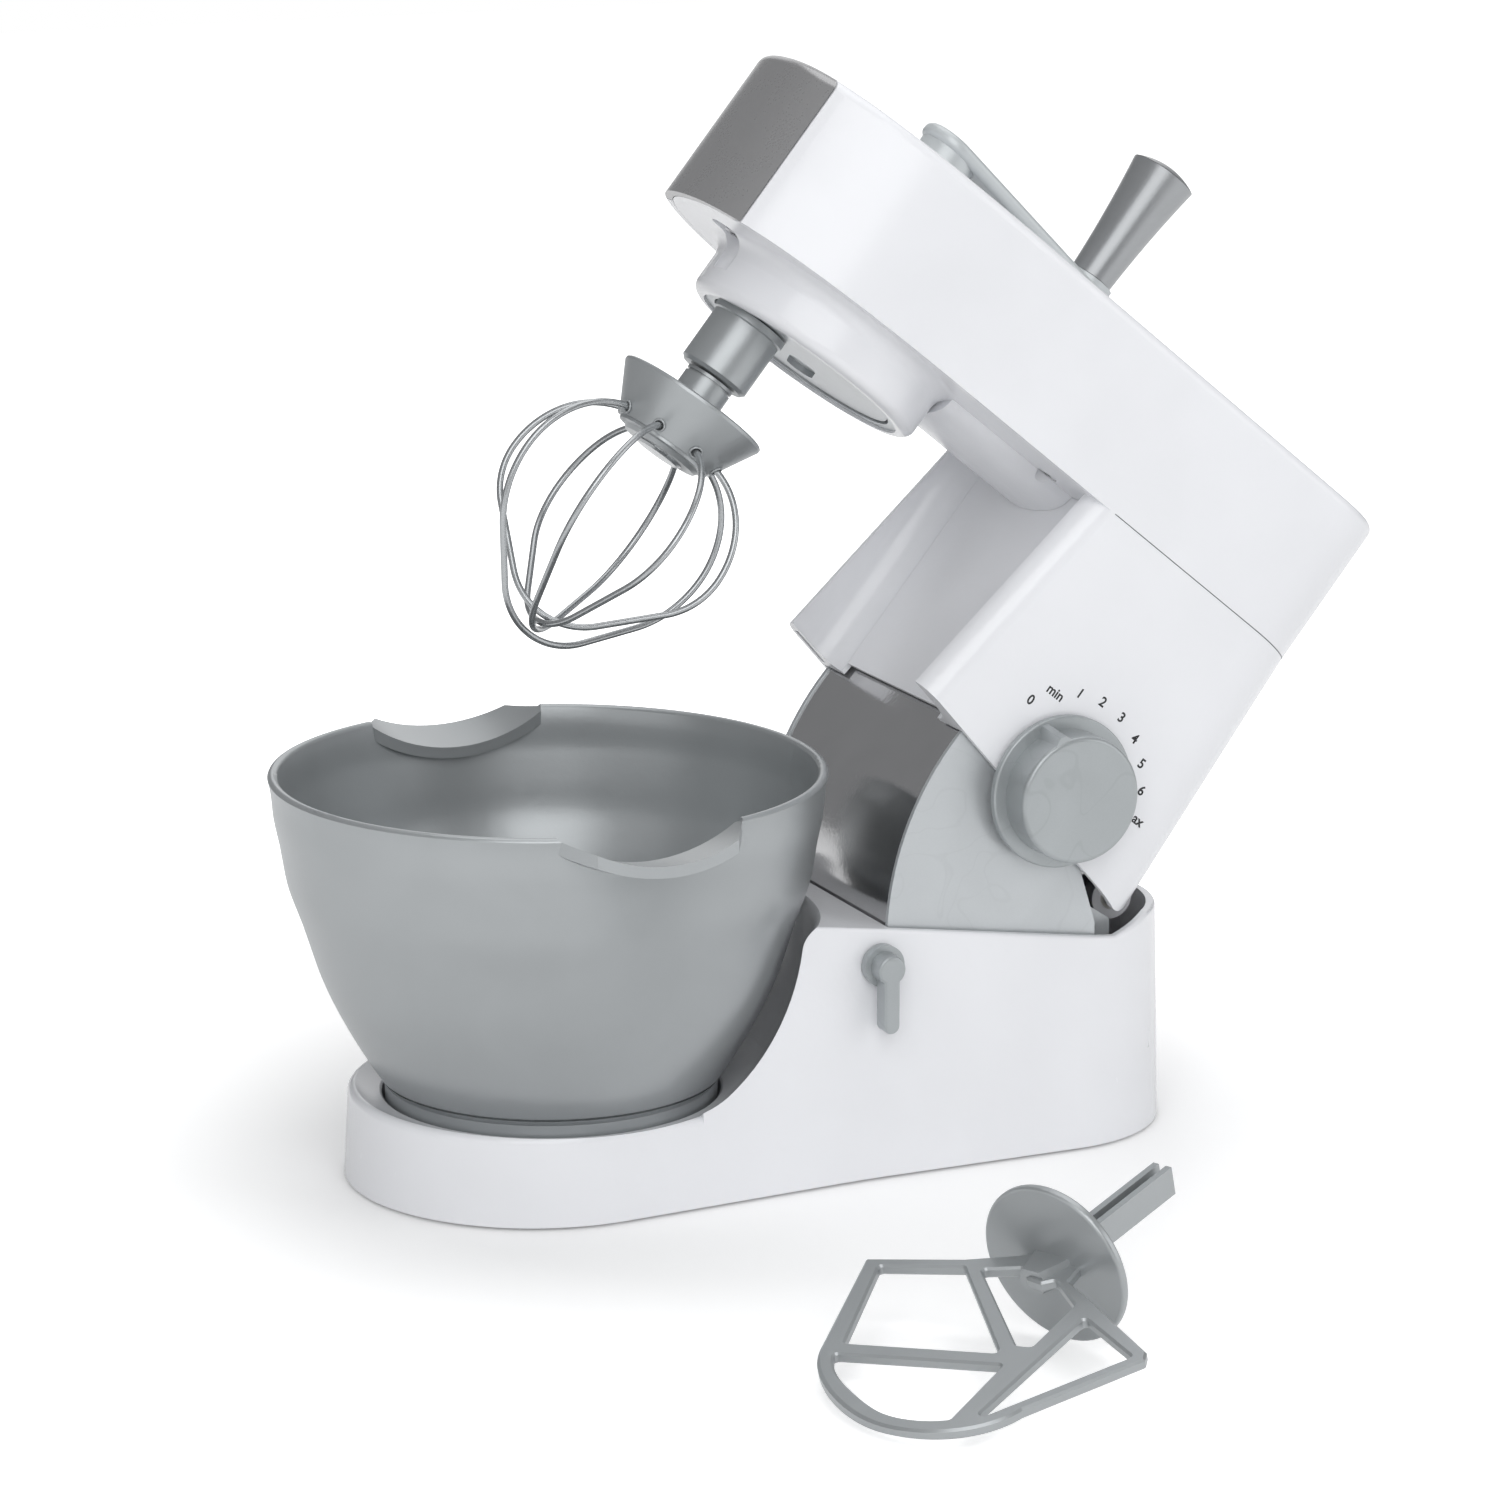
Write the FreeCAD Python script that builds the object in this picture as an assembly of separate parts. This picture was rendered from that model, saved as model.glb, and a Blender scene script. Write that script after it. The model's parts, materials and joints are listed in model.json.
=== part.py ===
"""Toy stand mixer: a hand crank on the lifting head drives a planetary whisk over a
drop-in bowl, with a clicking speed dial, a head lock lever and a spare flat beater.

Millimetres, +Z up. The origin is on the ground, at the centre of the base's length
and width; -X is the front, where the bowl sits, and -Y is the side with the dial.
The head and its pillar are drawn closed and then turned back about the hinge, because
the mixer rests with its head raised.
"""
import FreeCAD, Part
import math
import os

V = FreeCAD.Vector

# Base: a white shell with a round front, standing on four feet
BASE_Z = 1.0
FRONT_X, FRONT_R, FRONT_R_TOP = -66.8, 55.2, 50.8
KINK_X, BLEND_R = 12.0, 250.0
BASE_W, BASE_W_TOP = 49.8, 47.6
REAR_X, REAR_FLAT = 79.5, 7.8
LOFT_TOP = 80.0
WALL = 2.6
RIM_Z = 26.3
DECK_Z, DECK_SLOPE = 75.25, -0.15
DIP_X, RISE_X, REAR_RIM_Z = 92.0, 106.0, 64.5
SLIT_X = 20.4
WELL_X = 118.5
RIM_ROUND, DECK_ROUND = 2.0, 1.0
FRONT_EDGE_X = -39.0

# Bowl and the round seat that it drops into
BOWL_X = -63.0
SEAT_R, SEAT_Z, PLATFORM_Z = 47.9, 15.5, 24.1
FOOT_R = 47.0
BOWL_RIM_Z, BOWL_RIM_R = 115.4, 78.0
BOWL_WALL = 2.8
SPOUT_Z, SPOUT_TROUGH_R, SPOUT_T = 108.1, 45.8, 3.2
SPOUT_R, SPOUT_TURN, SPOUT_WIDE, SPOUT_RISE = 87.0, 13.5, 20.3, 9.5

# Hinge of the head, and how far the head is turned back at rest
HINGE_X, HINGE_Z = 102.0, 66.5
TILT = 39.17
ROD_R = 2.5
RUN = 0.05

# Self-cutting screws and the plain holes they are driven into
SCREW_R, PILOT_R = 1.4, 1.43
SCREW_HEAD_R, CLEAR_R, SINK_R = 2.7, 1.7, 3.2

# Fixed drum that the pillar uncovers when the head goes back
DRUM_X, DRUM_Z, DRUM_R = 106.1, 68.0, 85.0
DRUM_W, DRUM_WALL, DRUM_RIM, SHEET_T = 44.2, 2.2, 1.5, 0.8
DRUM_LOW, DRUM_HIGH = -12.2, 60.0
DRUM_BACK_X = 86.0
WING_X, WING_Y, WING_LOW, WING_TOP = 95.0, 34.0, 8.0, 70.0

# Head, closed: plan of the nose, parting line, top and rear
HEAD_W, NOSE_X, NOSE_START, NOSE_POWER = 47.7, -125.3, -44.8, 2.4
PART_Z, HEAD_TOP, CROWN = 149.5, 197.3, 2.0
HEAD_REAR, REAR_R = 98.9, 23.0
SHELL = 2.5
CAP_X, CAP_GAP = -117.3, 0.35
HEAD_ROUND, NOSE_STEPS = 3.0, 16
PLATE_H, POCKET_TOP = 152.5, 149.0
HEAD_SCREWS = [(-106.0, 0.0), (5.1, 24.0), (5.1, -24.0), (62.0, 36.0), (62.0, -36.0)]
PILLAR_SCREWS = [(32.0, 38.0), (32.0, -38.0), (84.0, 34.0), (84.0, -34.0)]
PILLAR_RIB_Y, REAR_RIB_Y = 45.6, 38.5
KEEL_W = 22.0
TAB_Y, TAB_Z = 20.2, 165.0

# Pillar under the head
PILLAR_LOW = 58.0
CHEEK_TOP_X, CHEEK_LOW_X, CHEEK_LOW_Z = 9.2, -0.5, 78.8
CHEEK_R = 7.0
PILLAR_REAR_LOW = 103.6
PANEL_X, PANEL_T, PANEL_SKIN, PANEL_HALF = 17.0, 2.4, 1.8, 31.5
BAR_Y, RECESS_R = 40.7, 9.0
PANEL_LOW, PANEL_THICK_Z = 78.6, 95.0
SWEEP_R = 84.2
EAR_IN, EAR_OUT, EYE_R, NOTCH_Y, NOTCH_Z = 19.5, 24.5, 6.4, 27.0, 75.0
POST_IN, POST_OUT = 14.0, 18.5

# Drive: crank shaft, fixed ring gear, planet gear
DRIVE_X = -66.4
ORBIT = 19.5
RING_TEETH, PLANET_TEETH, MODULE = 53, 14, 1.0
ADDENDUM, DEDENDUM, BACKLASH = 0.8, 1.05, 0.3
PRESSURE = 20.0
GEAR_Z, GEAR_H = 140.0, 6.0
CHIN_Z, CHIN_R, CHIN_BORE = 133.2, 37.0, 32.7
SHAFT_R, SHAFT_TOP = 5.0, 204.8
CARRIER_R, CARRIER_Z = 28.8, 134.5
POCKET_X, POCKET_Y, POCKET_R, POCKET_LONG, POCKET_TURN = 5.9, 10.8, 4.4, 11.0, 64.0
CRANK_REACH = 59.1
CRANK_TOP, CRANK_FALL, CRANK_T = 209.4, 6.3, 4.2
CRANK_R, CRANK_TIP_R, CRANK_SEAT_R, CRANK_EDGE = 9.8, 8.5, 7.4, 1.8
KNOB_X = DRIVE_X + CRANK_REACH
KNOB_Z, KNOB_TOP, KNOB_R, KNOB_TOP_R, KNOB_WAIST = 205.2, 241.4, 6.5, 9.9, 7.75
KNOB_CELL, KNOB_DOME, PIN_R = 231.0, 2.6, 2.0

# Whisk and the socket that turns it
WHISK_X = DRIVE_X - ORBIT
SOCKET_R, SOCKET_LOW, SOCKET_TOP = 10.5, 114.9, 134.0
SPINDLE_R, SPINDLE_TOP = 4.0, 148.0
SHANK_HALF, SHANK_TOP = 3.0, 130.0
COLLAR_R, CONE_TOP, CONE_LOW = 7.3, 106.4, 92.0
CONE_R, CONE_LOW_R, DISC_R, PLUG_R = 22.6, 15.3, 14.6, 7.5
WIRE_R, LOOPS = 0.95, 4
CAGE_R, CAGE_WIDE_Z, CAGE_TIP_Z, NEST = 35.0, 68.5, 27.5, 2.2
TIP_R, TIP_TURN, TIP_TURN_STEP = 21.0, 48.0, 1.5
SHOULDER_R, SHOULDER_TURN, WHISK_TURN = 28.0, 32.0, 5.5
WIRE_Z, WIRE_END_R = 94.8, 11.0
MOUTH_R, MOUTH_REACH, MOUTH_Z = 1.6, 16.4, 93.9

# Speed dial on the near cheek
DIAL_X, DIAL_Z = 53.1, 79.0
DIAL_R, DIAL_CAP_R, DIAL_Y, DIAL_FLANGE, DIAL_FACE = 21.9, 18.2, 48.9, 2.0, 61.6
DIAL_POST_R, DIAL_BOSS_R, DIAL_BOSS_Y, DIAL_SINK_R, DIAL_SINK_Y = 4.0, 7.5, 53.5, 6.7, 47.4
DIAL_ZERO = 56.5

# Lock lever on the near side of the base
LEVER_X, LEVER_Z = 16.5, 63.0
LEVER_SHAFT_R, LEVER_W, LEVER_LOW = 2.5, 4.8, 44.6
LATCH_Y0, LATCH_Y1, LATCH_TURN = 42.6, 44.6, 25.0
LATCH_X0, LATCH_X1, LATCH_NOSE_X = 13.9, 16.1, 18.0
LATCH_NOSE_Z, LATCH_TOP = 81.0, 83.0

# Flat beater lying in front
BEATER_X, BEATER_Y, BEATER_HEADING = -1.2, -189.6, 24.1
BEATER_END, BEATER_T, BEATER_DISC_R, DISC_T, SHANK_LONG = 81.5, 3.0, 22.2, 2.6, 46.4
BEATER_OUTLINE = [
    (0, -7), (2.7, -9.5), (10.4, -21.5), (21.5, -45.6), (58.7, -29.2), (66.7, -24.3), (73.2, -16.6),
    (78.9, -5.2), (81.3, 7.3), (80.1, 15.7), (77.4, 22.7), (71.0, 30.9), (60.1, 36.1), (28.6, 50.0),
    (25.6, 48.3), (18.4, 33.3), (11.6, 19.5), (7.5, 10.0), (0, 8.5)]
BEATER_CURVE = (4, 12)
BEATER_WINDOWS = [
    ([(22.8, -40.1), (13.6, -19.2), (42.2, 14.9), (55.9, -24.3)], ()),
    ([(12.6, -14.3), (7.3, -4.9), (11.2, -0.5), (11.5, 4.0), (8.5, 6.6), (15.9, 18.3), (36.3, 20.4),
      (37.4, 16.6)], ()),
    ([(46.1, 19.0), (71.6, 22.4), (75.3, 15.3), (76.6, 7.2), (72.9, -6.7), (66.4, -18.7), (61.0, -23.5)],
     (1, 6)),
    ([(19.6, 24.4), (28.9, 46.2), (69.5, 27.9)], ())]
BOWL_LINE = [(78, 115.4), (77.3, 112), (76.6, 104.7), (75, 96.6), (73.1, 85.5), (69.9, 76.2), (64.7, 59.9),
             (58.3, 45.8), (51.9, 34.6), (47.6, 28)]
BOWL_FLOOR, GROOVE_Z = 21.5, 28.6

PARTS = {}


def add(name, shape):
    """Keep a finished piece under its node name."""
    PARTS[name] = shape


def raised(shape):
    """Turn a piece of the closed head back about the hinge, to its place at rest."""
    turned = shape.copy()
    turned.rotate(V(HINGE_X, 0, HINGE_Z), V(0, 1, 0), TILT)
    return turned


def box(x0, x1, y0, y1, z0, z1):
    return Part.makeBox(x1 - x0, y1 - y0, z1 - z0, V(x0, y0, z0))


def rod(r, z0, z1, x, y=0.0):
    """Upright cylinder."""
    return Part.makeCylinder(r, z1 - z0, V(x, y, z0))


def rod_y(r, y0, y1, x, z):
    """Cylinder across the mixer."""
    return Part.makeCylinder(r, y1 - y0, V(x, y0, z), V(0, 1, 0))


def tube(r_in, r_out, z0, z1, x, y=0.0):
    return rod(r_out, z0, z1, x, y).cut(rod(r_in, z0 - 1, z1 + 1, x, y))


def tube_y(r_in, r_out, y0, y1, x, z):
    return rod_y(r_out, y0, y1, x, z).cut(rod_y(r_in, y0 - 1, y1 + 1, x, z))


def cone_y(r0, r1, y0, y1, x, z):
    return Part.makeCone(r0, r1, abs(y1 - y0), V(x, y0, z), V(0, math.copysign(1, y1 - y0), 0))


def line(a, b):
    return Part.LineSegment(a, b).toShape()


def arc(a, b, c):
    return Part.Arc(a, b, c).toShape()


def closed(points):
    """Wire of straight edges through the points, closed."""
    return Part.Wire(Part.makePolygon(points + [points[0]]))


def side_prism(points, y0, y1):
    """Outline in X and Z, thick along Y."""
    face = Part.Face(closed([V(x, y0, z) for x, z in points]))
    return face.extrude(V(0, y1 - y0, 0))


def turned_part(points, x, y=0.0):
    """Full turn of an outline of radius and height about an upright axis."""
    face = Part.Face(closed([V(x + r, y, z) for r, z in points]))
    return face.revolve(V(x, y, 0), V(0, 0, 1), 360)


def turned_wire(edges, x, y=0.0):
    """Full turn of a closed outline of edges drawn at y about an upright axis."""
    return Part.Face(Part.Wire(edges)).revolve(V(x, y, 0), V(0, 0, 1), 360)


def fuse(first, *rest):
    return first.multiFuse(list(rest)).removeSplitter()


def mirrored(shape):
    """Copy on the other side of the mixer."""
    return shape.mirror(V(0, 0, 0), V(0, 1, 0))


def screw(x, y, z, length, up=True):
    """Pan head screw with a cross recess; z is the seat under the head, which points down
    when up is true, as the screw goes up into its boss."""
    body = fuse(rod(SCREW_R, 0, length, 0), rod(SCREW_HEAD_R, -1.7, 0, 0))
    cross = fuse(box(-1.7, 1.7, -0.35, 0.35, -2, -0.8), box(-0.35, 0.35, -1.7, 1.7, -2, -0.8))
    body = body.cut(cross)
    if not up:
        body.rotate(V(0, 0, 0), V(1, 0, 0), 180)
    body.translate(V(x, y, z))
    return body


def rounded_plan(x0, x1, w, r0, r1, z):
    """Plan outline symmetric about the X axis, with its own corner radius at each end."""
    d0 = r0 * (1 - math.sqrt(0.5))
    d1 = r1 * (1 - math.sqrt(0.5))
    half = [
        line(V(x0, 0, z), V(x0, w - r0, z)),
        arc(V(x0, w - r0, z), V(x0 + d0, w - d0, z), V(x0 + r0, w, z)),
        line(V(x0 + r0, w, z), V(x1 - r1, w, z)),
        arc(V(x1 - r1, w, z), V(x1 - d1, w - d1, z), V(x1, w - r1, z)),
        line(V(x1, w - r1, z), V(x1, 0, z)),
    ]
    other = [mirrored(edge) for edge in reversed(half)]
    return Part.Wire(Part.__sortEdges__(half + other))


def base_outline(inset, z):
    """Plan of the base at one height: round front, nearly straight sides, round rear."""
    share = (z - BASE_Z) / (LOFT_TOP - BASE_Z)
    r = FRONT_R + (FRONT_R_TOP - FRONT_R) * share - inset
    w = BASE_W + (BASE_W_TOP - BASE_W) * share - inset
    rear = w - REAR_FLAT
    reach = math.hypot(KINK_X - FRONT_X, w)
    angle = math.atan2(w, KINK_X - FRONT_X) + math.acos(r / reach)
    leave = V(FRONT_X + r * math.cos(angle), r * math.sin(angle), z)
    kink = V(KINK_X, w, z)
    turn = math.atan2(leave.y - w, KINK_X - leave.x)
    back = BLEND_R * math.tan(turn / 2)
    before = kink + (leave - kink).normalize() * back
    after = kink + V(back, 0, 0)
    centre = after + V(0, BLEND_R, 0)
    middle = centre + (kink - centre).normalize() * BLEND_R
    corner = V(REAR_X + rear * math.sqrt(0.5), REAR_FLAT + rear * math.sqrt(0.5), z)
    side = [
        line(leave, before),
        arc(before, middle, after),
        line(after, V(REAR_X, w, z)),
        arc(V(REAR_X, w, z), corner, V(REAR_X + rear, REAR_FLAT, z)),
    ]
    rear_end = line(V(REAR_X + rear, REAR_FLAT, z), V(REAR_X + rear, -REAR_FLAT, z))
    front_end = arc(V(leave.x, -leave.y, z), V(FRONT_X - r, 0, z), leave)
    other = [mirrored(edge) for edge in reversed(side)]
    return Part.Wire(side + [rear_end] + other + [front_end])


def base_block(inset, z0):
    """Drafted block inside the base's outline."""
    return Part.makeLoft([base_outline(inset, z0), base_outline(inset, LOFT_TOP)], True, True)


def deck_z(x):
    return DECK_Z + DECK_SLOPE * x


def base_side(inset):
    """Side view of the base: low round platform, sloping deck, rear rim."""
    low, front, rear, step = -10.0, -140.0, 140.0, -40.0
    points = [
        (front, low),
        (front, RIM_Z - inset),
        (step, RIM_Z - inset),
        (step, deck_z(step) - inset),
        (DIP_X, deck_z(DIP_X) - inset),
        (RISE_X, REAR_RIM_Z - inset),
        (rear, REAR_RIM_Z - inset),
        (rear, low),
    ]
    return side_prism(points, -80, 80)


def upper_edges(shape, z, x=-200.0):
    """Edges that lie wholly above one height and behind one place."""
    return [edge for edge in shape.Edges if edge.BoundBox.ZMin > z and edge.BoundBox.XMin > x]


def base_outer():
    """Platform and tall rear part, each with its top edge rounded, before the bowl's scoop."""
    platform = base_block(0, BASE_Z).common(box(-140, 140, -80, 80, -10, RIM_Z))
    platform = platform.makeFillet(RIM_ROUND, upper_edges(platform, RIM_Z - 0.1))
    tall = base_block(0, BASE_Z).common(side_prism([
        (FRONT_EDGE_X, 0),
        (FRONT_EDGE_X, deck_z(FRONT_EDGE_X)),
        (DIP_X, deck_z(DIP_X)),
        (RISE_X, REAR_RIM_Z),
        (140, REAR_RIM_Z),
        (140, 0),
    ], -80, 80))
    tall = tall.makeFillet(DECK_ROUND, upper_edges(tall, 55, FRONT_EDGE_X))
    return platform.fuse(tall)


def scoop(inset):
    """Hollow turned about the bowl's axis: seat, platform and the wall that follows the bowl."""
    def p(r, z, out_r, out_z):
        return V(BOWL_X + r + out_r * inset, 0, z - out_z * inset)
    top = 140.0
    floor_in = V(BOWL_X, 0, SEAT_Z - inset)
    floor_out = p(SEAT_R, SEAT_Z, 1, 1)
    seat_top = p(SEAT_R, PLATFORM_Z - 0.5, 1, 1)
    platform = p(SEAT_R + 0.6, PLATFORM_Z, 1, 1)
    bend = p(54.6, 25.9, 0.4, 0.9)
    rise = p(60.5, 31.2, 0.8, 0.6)
    wall = p(67.6, 44.6, 0.95, 0.35)
    brow = p(73.9, 70.0, 1, 0.2)
    edge = p(75.4, 74.0, 1, 0.6)
    deck = p(79.5, 76.9, 1, 1)
    high = V(deck.x, 0, top)
    edges = [
        line(floor_in, floor_out),
        line(floor_out, seat_top),
        line(seat_top, platform),
        arc(platform, bend, rise),
        arc(rise, wall, brow),
        arc(brow, edge, deck),
        line(deck, high),
        line(high, V(BOWL_X, 0, top)),
        line(V(BOWL_X, 0, top), floor_in),
    ]
    return turned_wire(edges, BOWL_X)


FEET = [(sx * 92.0, sy * 32.0) for sx in (-1, 1) for sy in (-1, 1)]
PLATE_SCREWS = [(-90.0, 12.0), (-90.0, -12.0), (-38.0, 34.0), (-38.0, -34.0), (106.0, 26.0), (106.0, -26.0)]
DRUM_SCREWS = [(30.0, 38.5), (30.0, -38.5), (78.0, 38.5), (78.0, -38.5)]
PLATE_Z, PLATE_T = 1.2, 2.4
PAD_R, PAD_ROOM_R, STUD_R, BARB_R = 6.0, 10.0, 1.5, 2.4
BOSS_R, REAR_BOSS_Z = 3.8, 30.0
PLATE_TOP = PLATE_Z + PLATE_T


def base_housing():
    outer = base_outer().cut(scoop(0))
    inner = base_block(WALL, BASE_Z - 2).common(base_side(WALL)).cut(scoop(WALL))
    well = base_block(WALL, BASE_Z - 2).common(box(SLIT_X, WELL_X, -60, 60, 40, 90))
    shell = outer.cut(inner).cut(well)
    bosses = [box(13.0, 20.0, 36.0, 40.0, 58.5, 72.0)]
    for x, y in PLATE_SCREWS[:4]:
        bosses.append(tube(PILOT_R, BOSS_R, PLATE_TOP, SEAT_Z - WALL + 0.5, x, y))
    for x, y in PLATE_SCREWS[4:]:
        rib = box(x - 1.2, x + 1.2, abs(y), REAR_RIB_Y, PLATE_TOP, REAR_BOSS_Z)
        rib = rib if y > 0 else mirrored(rib)
        boss = fuse(rod(BOSS_R, PLATE_TOP, REAR_BOSS_Z, x, y), rib)
        bosses.append(boss.cut(rod(PILOT_R, PLATE_TOP - 1, 20, x, y)))
    shell = fuse(shell, *bosses)
    cutters = [
        rod_y(4.6, -60, -40, LEVER_X, LEVER_Z),
        rod_y(LEVER_SHAFT_R + RUN, 30, 41, LEVER_X, LEVER_Z),
        box(7.8, LATCH_X1 + 0.8, LATCH_Y0 - 0.4, LATCH_Y1 + 0.4, 66, 80),
    ]
    for cutter in cutters:
        shell = shell.cut(cutter)
    return shell


def base_plate():
    plate = base_block(WALL + 0.3, PLATE_Z).common(box(-140, 140, -80, 80, PLATE_Z, PLATE_TOP))
    cutters = []
    for x, y in PLATE_SCREWS + DRUM_SCREWS:
        cutters.append(rod(CLEAR_R, 0, 10, x, y))
        cutters.append(rod(SINK_R, 0, PLATE_TOP - 1.0, x, y))
    for x, y in FEET:
        cutters.append(rod(PAD_ROOM_R, 0, PLATE_Z + 1.1, x, y))
        cutters.append(rod(STUD_R + 0.1, 0, 10, x, y))
    for cutter in cutters:
        plate = plate.cut(cutter)
    return plate


def rubber_feet():
    """Four pads, each held by a stud pulled up through the plate."""
    pads = []
    for x, y in FEET:
        pad = fuse(rod(PAD_R, 0, PLATE_Z + 1.0, x, y), rod(STUD_R, 1, PLATE_TOP + 1.5, x, y),
                   rod(BARB_R, PLATE_TOP + 0.1, PLATE_TOP + 1.5, x, y))
        pads.append(pad)
    return Part.makeCompound(pads)


def under_screws(places, length):
    """Screws from below, their heads sunk in the base plate."""
    return Part.makeCompound([screw(x, y, PLATE_TOP - 1.0, length) for x, y in places])


def drum_point(r, degrees, y):
    a = math.radians(degrees)
    return V(DRUM_X - r * math.cos(a), y, DRUM_Z + r * math.sin(a))


def drum_slab(r, y0, y1, low, shift=0.0):
    """Side view of the drum at one radius, thick across; shift draws its open rear out."""
    start = drum_point(r, DRUM_LOW, y0)
    end = drum_point(r, DRUM_HIGH, y0)
    foot = V(start.x, y0, low)
    back = DRUM_BACK_X + shift
    points = [V(back - 8, y0, 92 + shift), V(back, y0, 66), V(back, y0, low)]
    edges = [
        line(foot, start),
        arc(start, drum_point(r, (DRUM_LOW + DRUM_HIGH) / 2, y0), end),
        line(end, points[0]),
        line(points[0], points[1]),
        line(points[1], points[2]),
        line(points[2], foot),
    ]
    return Part.Face(Part.Wire(edges)).extrude(V(0, y1 - y0, 0))


def drum_housing():
    """Sides with raised rims and a front wall, open below and behind, stepped in at the rear."""
    front = drum_slab(DRUM_R - SHEET_T, -DRUM_W, DRUM_W, PLATE_TOP)
    hollow = drum_slab(DRUM_R - SHEET_T - DRUM_WALL, -DRUM_W + DRUM_WALL, DRUM_W - DRUM_WALL, 0, 20)
    side = drum_slab(DRUM_R + 0.5, DRUM_W - DRUM_RIM, DRUM_W, PLATE_TOP)
    rear = DRUM_BACK_X - DRUM_WALL
    step = box(rear, DRUM_BACK_X, WING_Y, DRUM_W - 1, WING_LOW, WING_TOP - 4)
    wing = side_prism([(rear, WING_LOW), (WING_X, WING_LOW), (WING_X, WING_TOP - 6), (DRUM_BACK_X, WING_TOP),
                       (rear, WING_TOP)], WING_Y, WING_Y + DRUM_WALL)
    wing = wing.fuse(step)
    shell = fuse(front.cut(hollow), side, mirrored(side), wing, mirrored(wing))
    lugs = []
    for x, y in DRUM_SCREWS:
        lug = box(x - 4, x + 4, abs(y) - 3.5, DRUM_W - DRUM_WALL, PLATE_TOP, PLATE_TOP + 10)
        lugs.append(lug if y > 0 else mirrored(lug))
    shell = fuse(shell, *lugs)
    for x, y in DRUM_SCREWS:
        shell = shell.cut(rod(PILOT_R, 0, PLATE_TOP + 9, x, y))
    return shell


def drum_front():
    """Dark curved sheet let in between the drum's rims."""
    edge = DRUM_W - DRUM_RIM - 0.05
    outer = drum_slab(DRUM_R, -edge, edge, 45)
    inner = drum_slab(DRUM_R - SHEET_T + 0.03, -edge - 1, edge + 1, 44, 60)
    keep = box(0, 90, -60, 60, 52, 150)
    return outer.cut(inner).common(keep)


def hinge_bracket():
    """Upright on the base plate that holds one end of the hinge rod."""
    outline = [(95, PLATE_TOP), (112, PLATE_TOP), (HINGE_X + 5.5, HINGE_Z), (HINGE_X - 5.5, HINGE_Z)]
    post = side_prism(outline, POST_IN, POST_OUT)
    foot = box(93, 112, POST_IN - 8, POST_OUT, PLATE_TOP, PLATE_TOP + 3)
    eye = rod_y(6.0, POST_IN, POST_OUT, HINGE_X, HINGE_Z)
    return fuse(post, foot, eye).cut(rod_y(ROD_R, POST_IN - 1, POST_OUT + 1, HINGE_X, HINGE_Z))


def hinge_rod():
    """Steel rod through both brackets and both ears."""
    return rod_y(ROD_R, -EAR_OUT - 1.0, EAR_OUT + 1.0, HINGE_X, HINGE_Z)


def hinge_bush():
    """Flanged plain bush in the ear; the flange runs against the bracket."""
    sleeve = rod_y(3.55, EAR_IN, EAR_OUT, HINGE_X, HINGE_Z)
    flange = rod_y(5.5, POST_OUT + 0.15, EAR_IN - 0.05, HINGE_X, HINGE_Z)
    bridge = rod_y(3.55, POST_OUT + 0.15, EAR_IN + 0.5, HINGE_X, HINGE_Z)
    return fuse(sleeve, flange, bridge).cut(rod_y(ROD_R + RUN, 10, 30, HINGE_X, HINGE_Z))


def cheek_front(z):
    """X of the cheeks' front edge at a height."""
    return CHEEK_LOW_X + (CHEEK_TOP_X - CHEEK_LOW_X) * (z - CHEEK_LOW_Z) / (PART_Z - CHEEK_LOW_Z)


def pillar_rear(z):
    return PILLAR_REAR_LOW + (HEAD_REAR - PILLAR_REAR_LOW) * (z - PILLAR_LOW) / (PART_Z - PILLAR_LOW)


def cheek_side():
    """Side view of the pillar: sloped front edge, lower edge along the deck, round tip."""
    y0, y1 = -60, 60
    top = 170.0
    a = V(CHEEK_TOP_X + 0.133 * (top - PART_Z), y0, top)
    b = V(CHEEK_LOW_X, y0, CHEEK_LOW_Z)
    c = V(90.5, y0, 62.6)
    d = V(97.0, y0, 63.4)
    e = V(100.4, y0, 69.0)
    f = V(104.5, y0, 92.0)
    g = V(104.5, y0, top)
    edges = [line(a, b), line(b, c), arc(c, d, e), line(e, f), line(f, g), line(g, a)]
    return Part.Face(Part.Wire(edges)).extrude(V(0, y1 - y0, 0))


def hinge_ear():
    """Web behind the rear wall with the eye for the bush."""
    outline = [(HINGE_X - 6.0, HINGE_Z + 2), (HINGE_X + 1.0, HINGE_Z), (101.0, 108.0), (92.0, 104.0)]
    return fuse(side_prism(outline, EAR_IN, EAR_OUT), rod_y(EYE_R, EAR_IN, EAR_OUT, HINGE_X, HINGE_Z))


def latch_pocket():
    """Open slot in the far cheek's bar for the latch, and the notch that its nose enters."""
    y0, y1 = LATCH_Y0 - 0.4, LATCH_Y1 + 0.4
    slot = box(3.5, LATCH_X1 + 0.5, y0, y1, 70, LATCH_TOP + 1.5)
    notch = box(LATCH_X1, LATCH_NOSE_X + 0.6, y0, y1, LATCH_NOSE_Z - 0.3, LATCH_TOP + 0.5)
    return [slot, notch]


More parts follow.
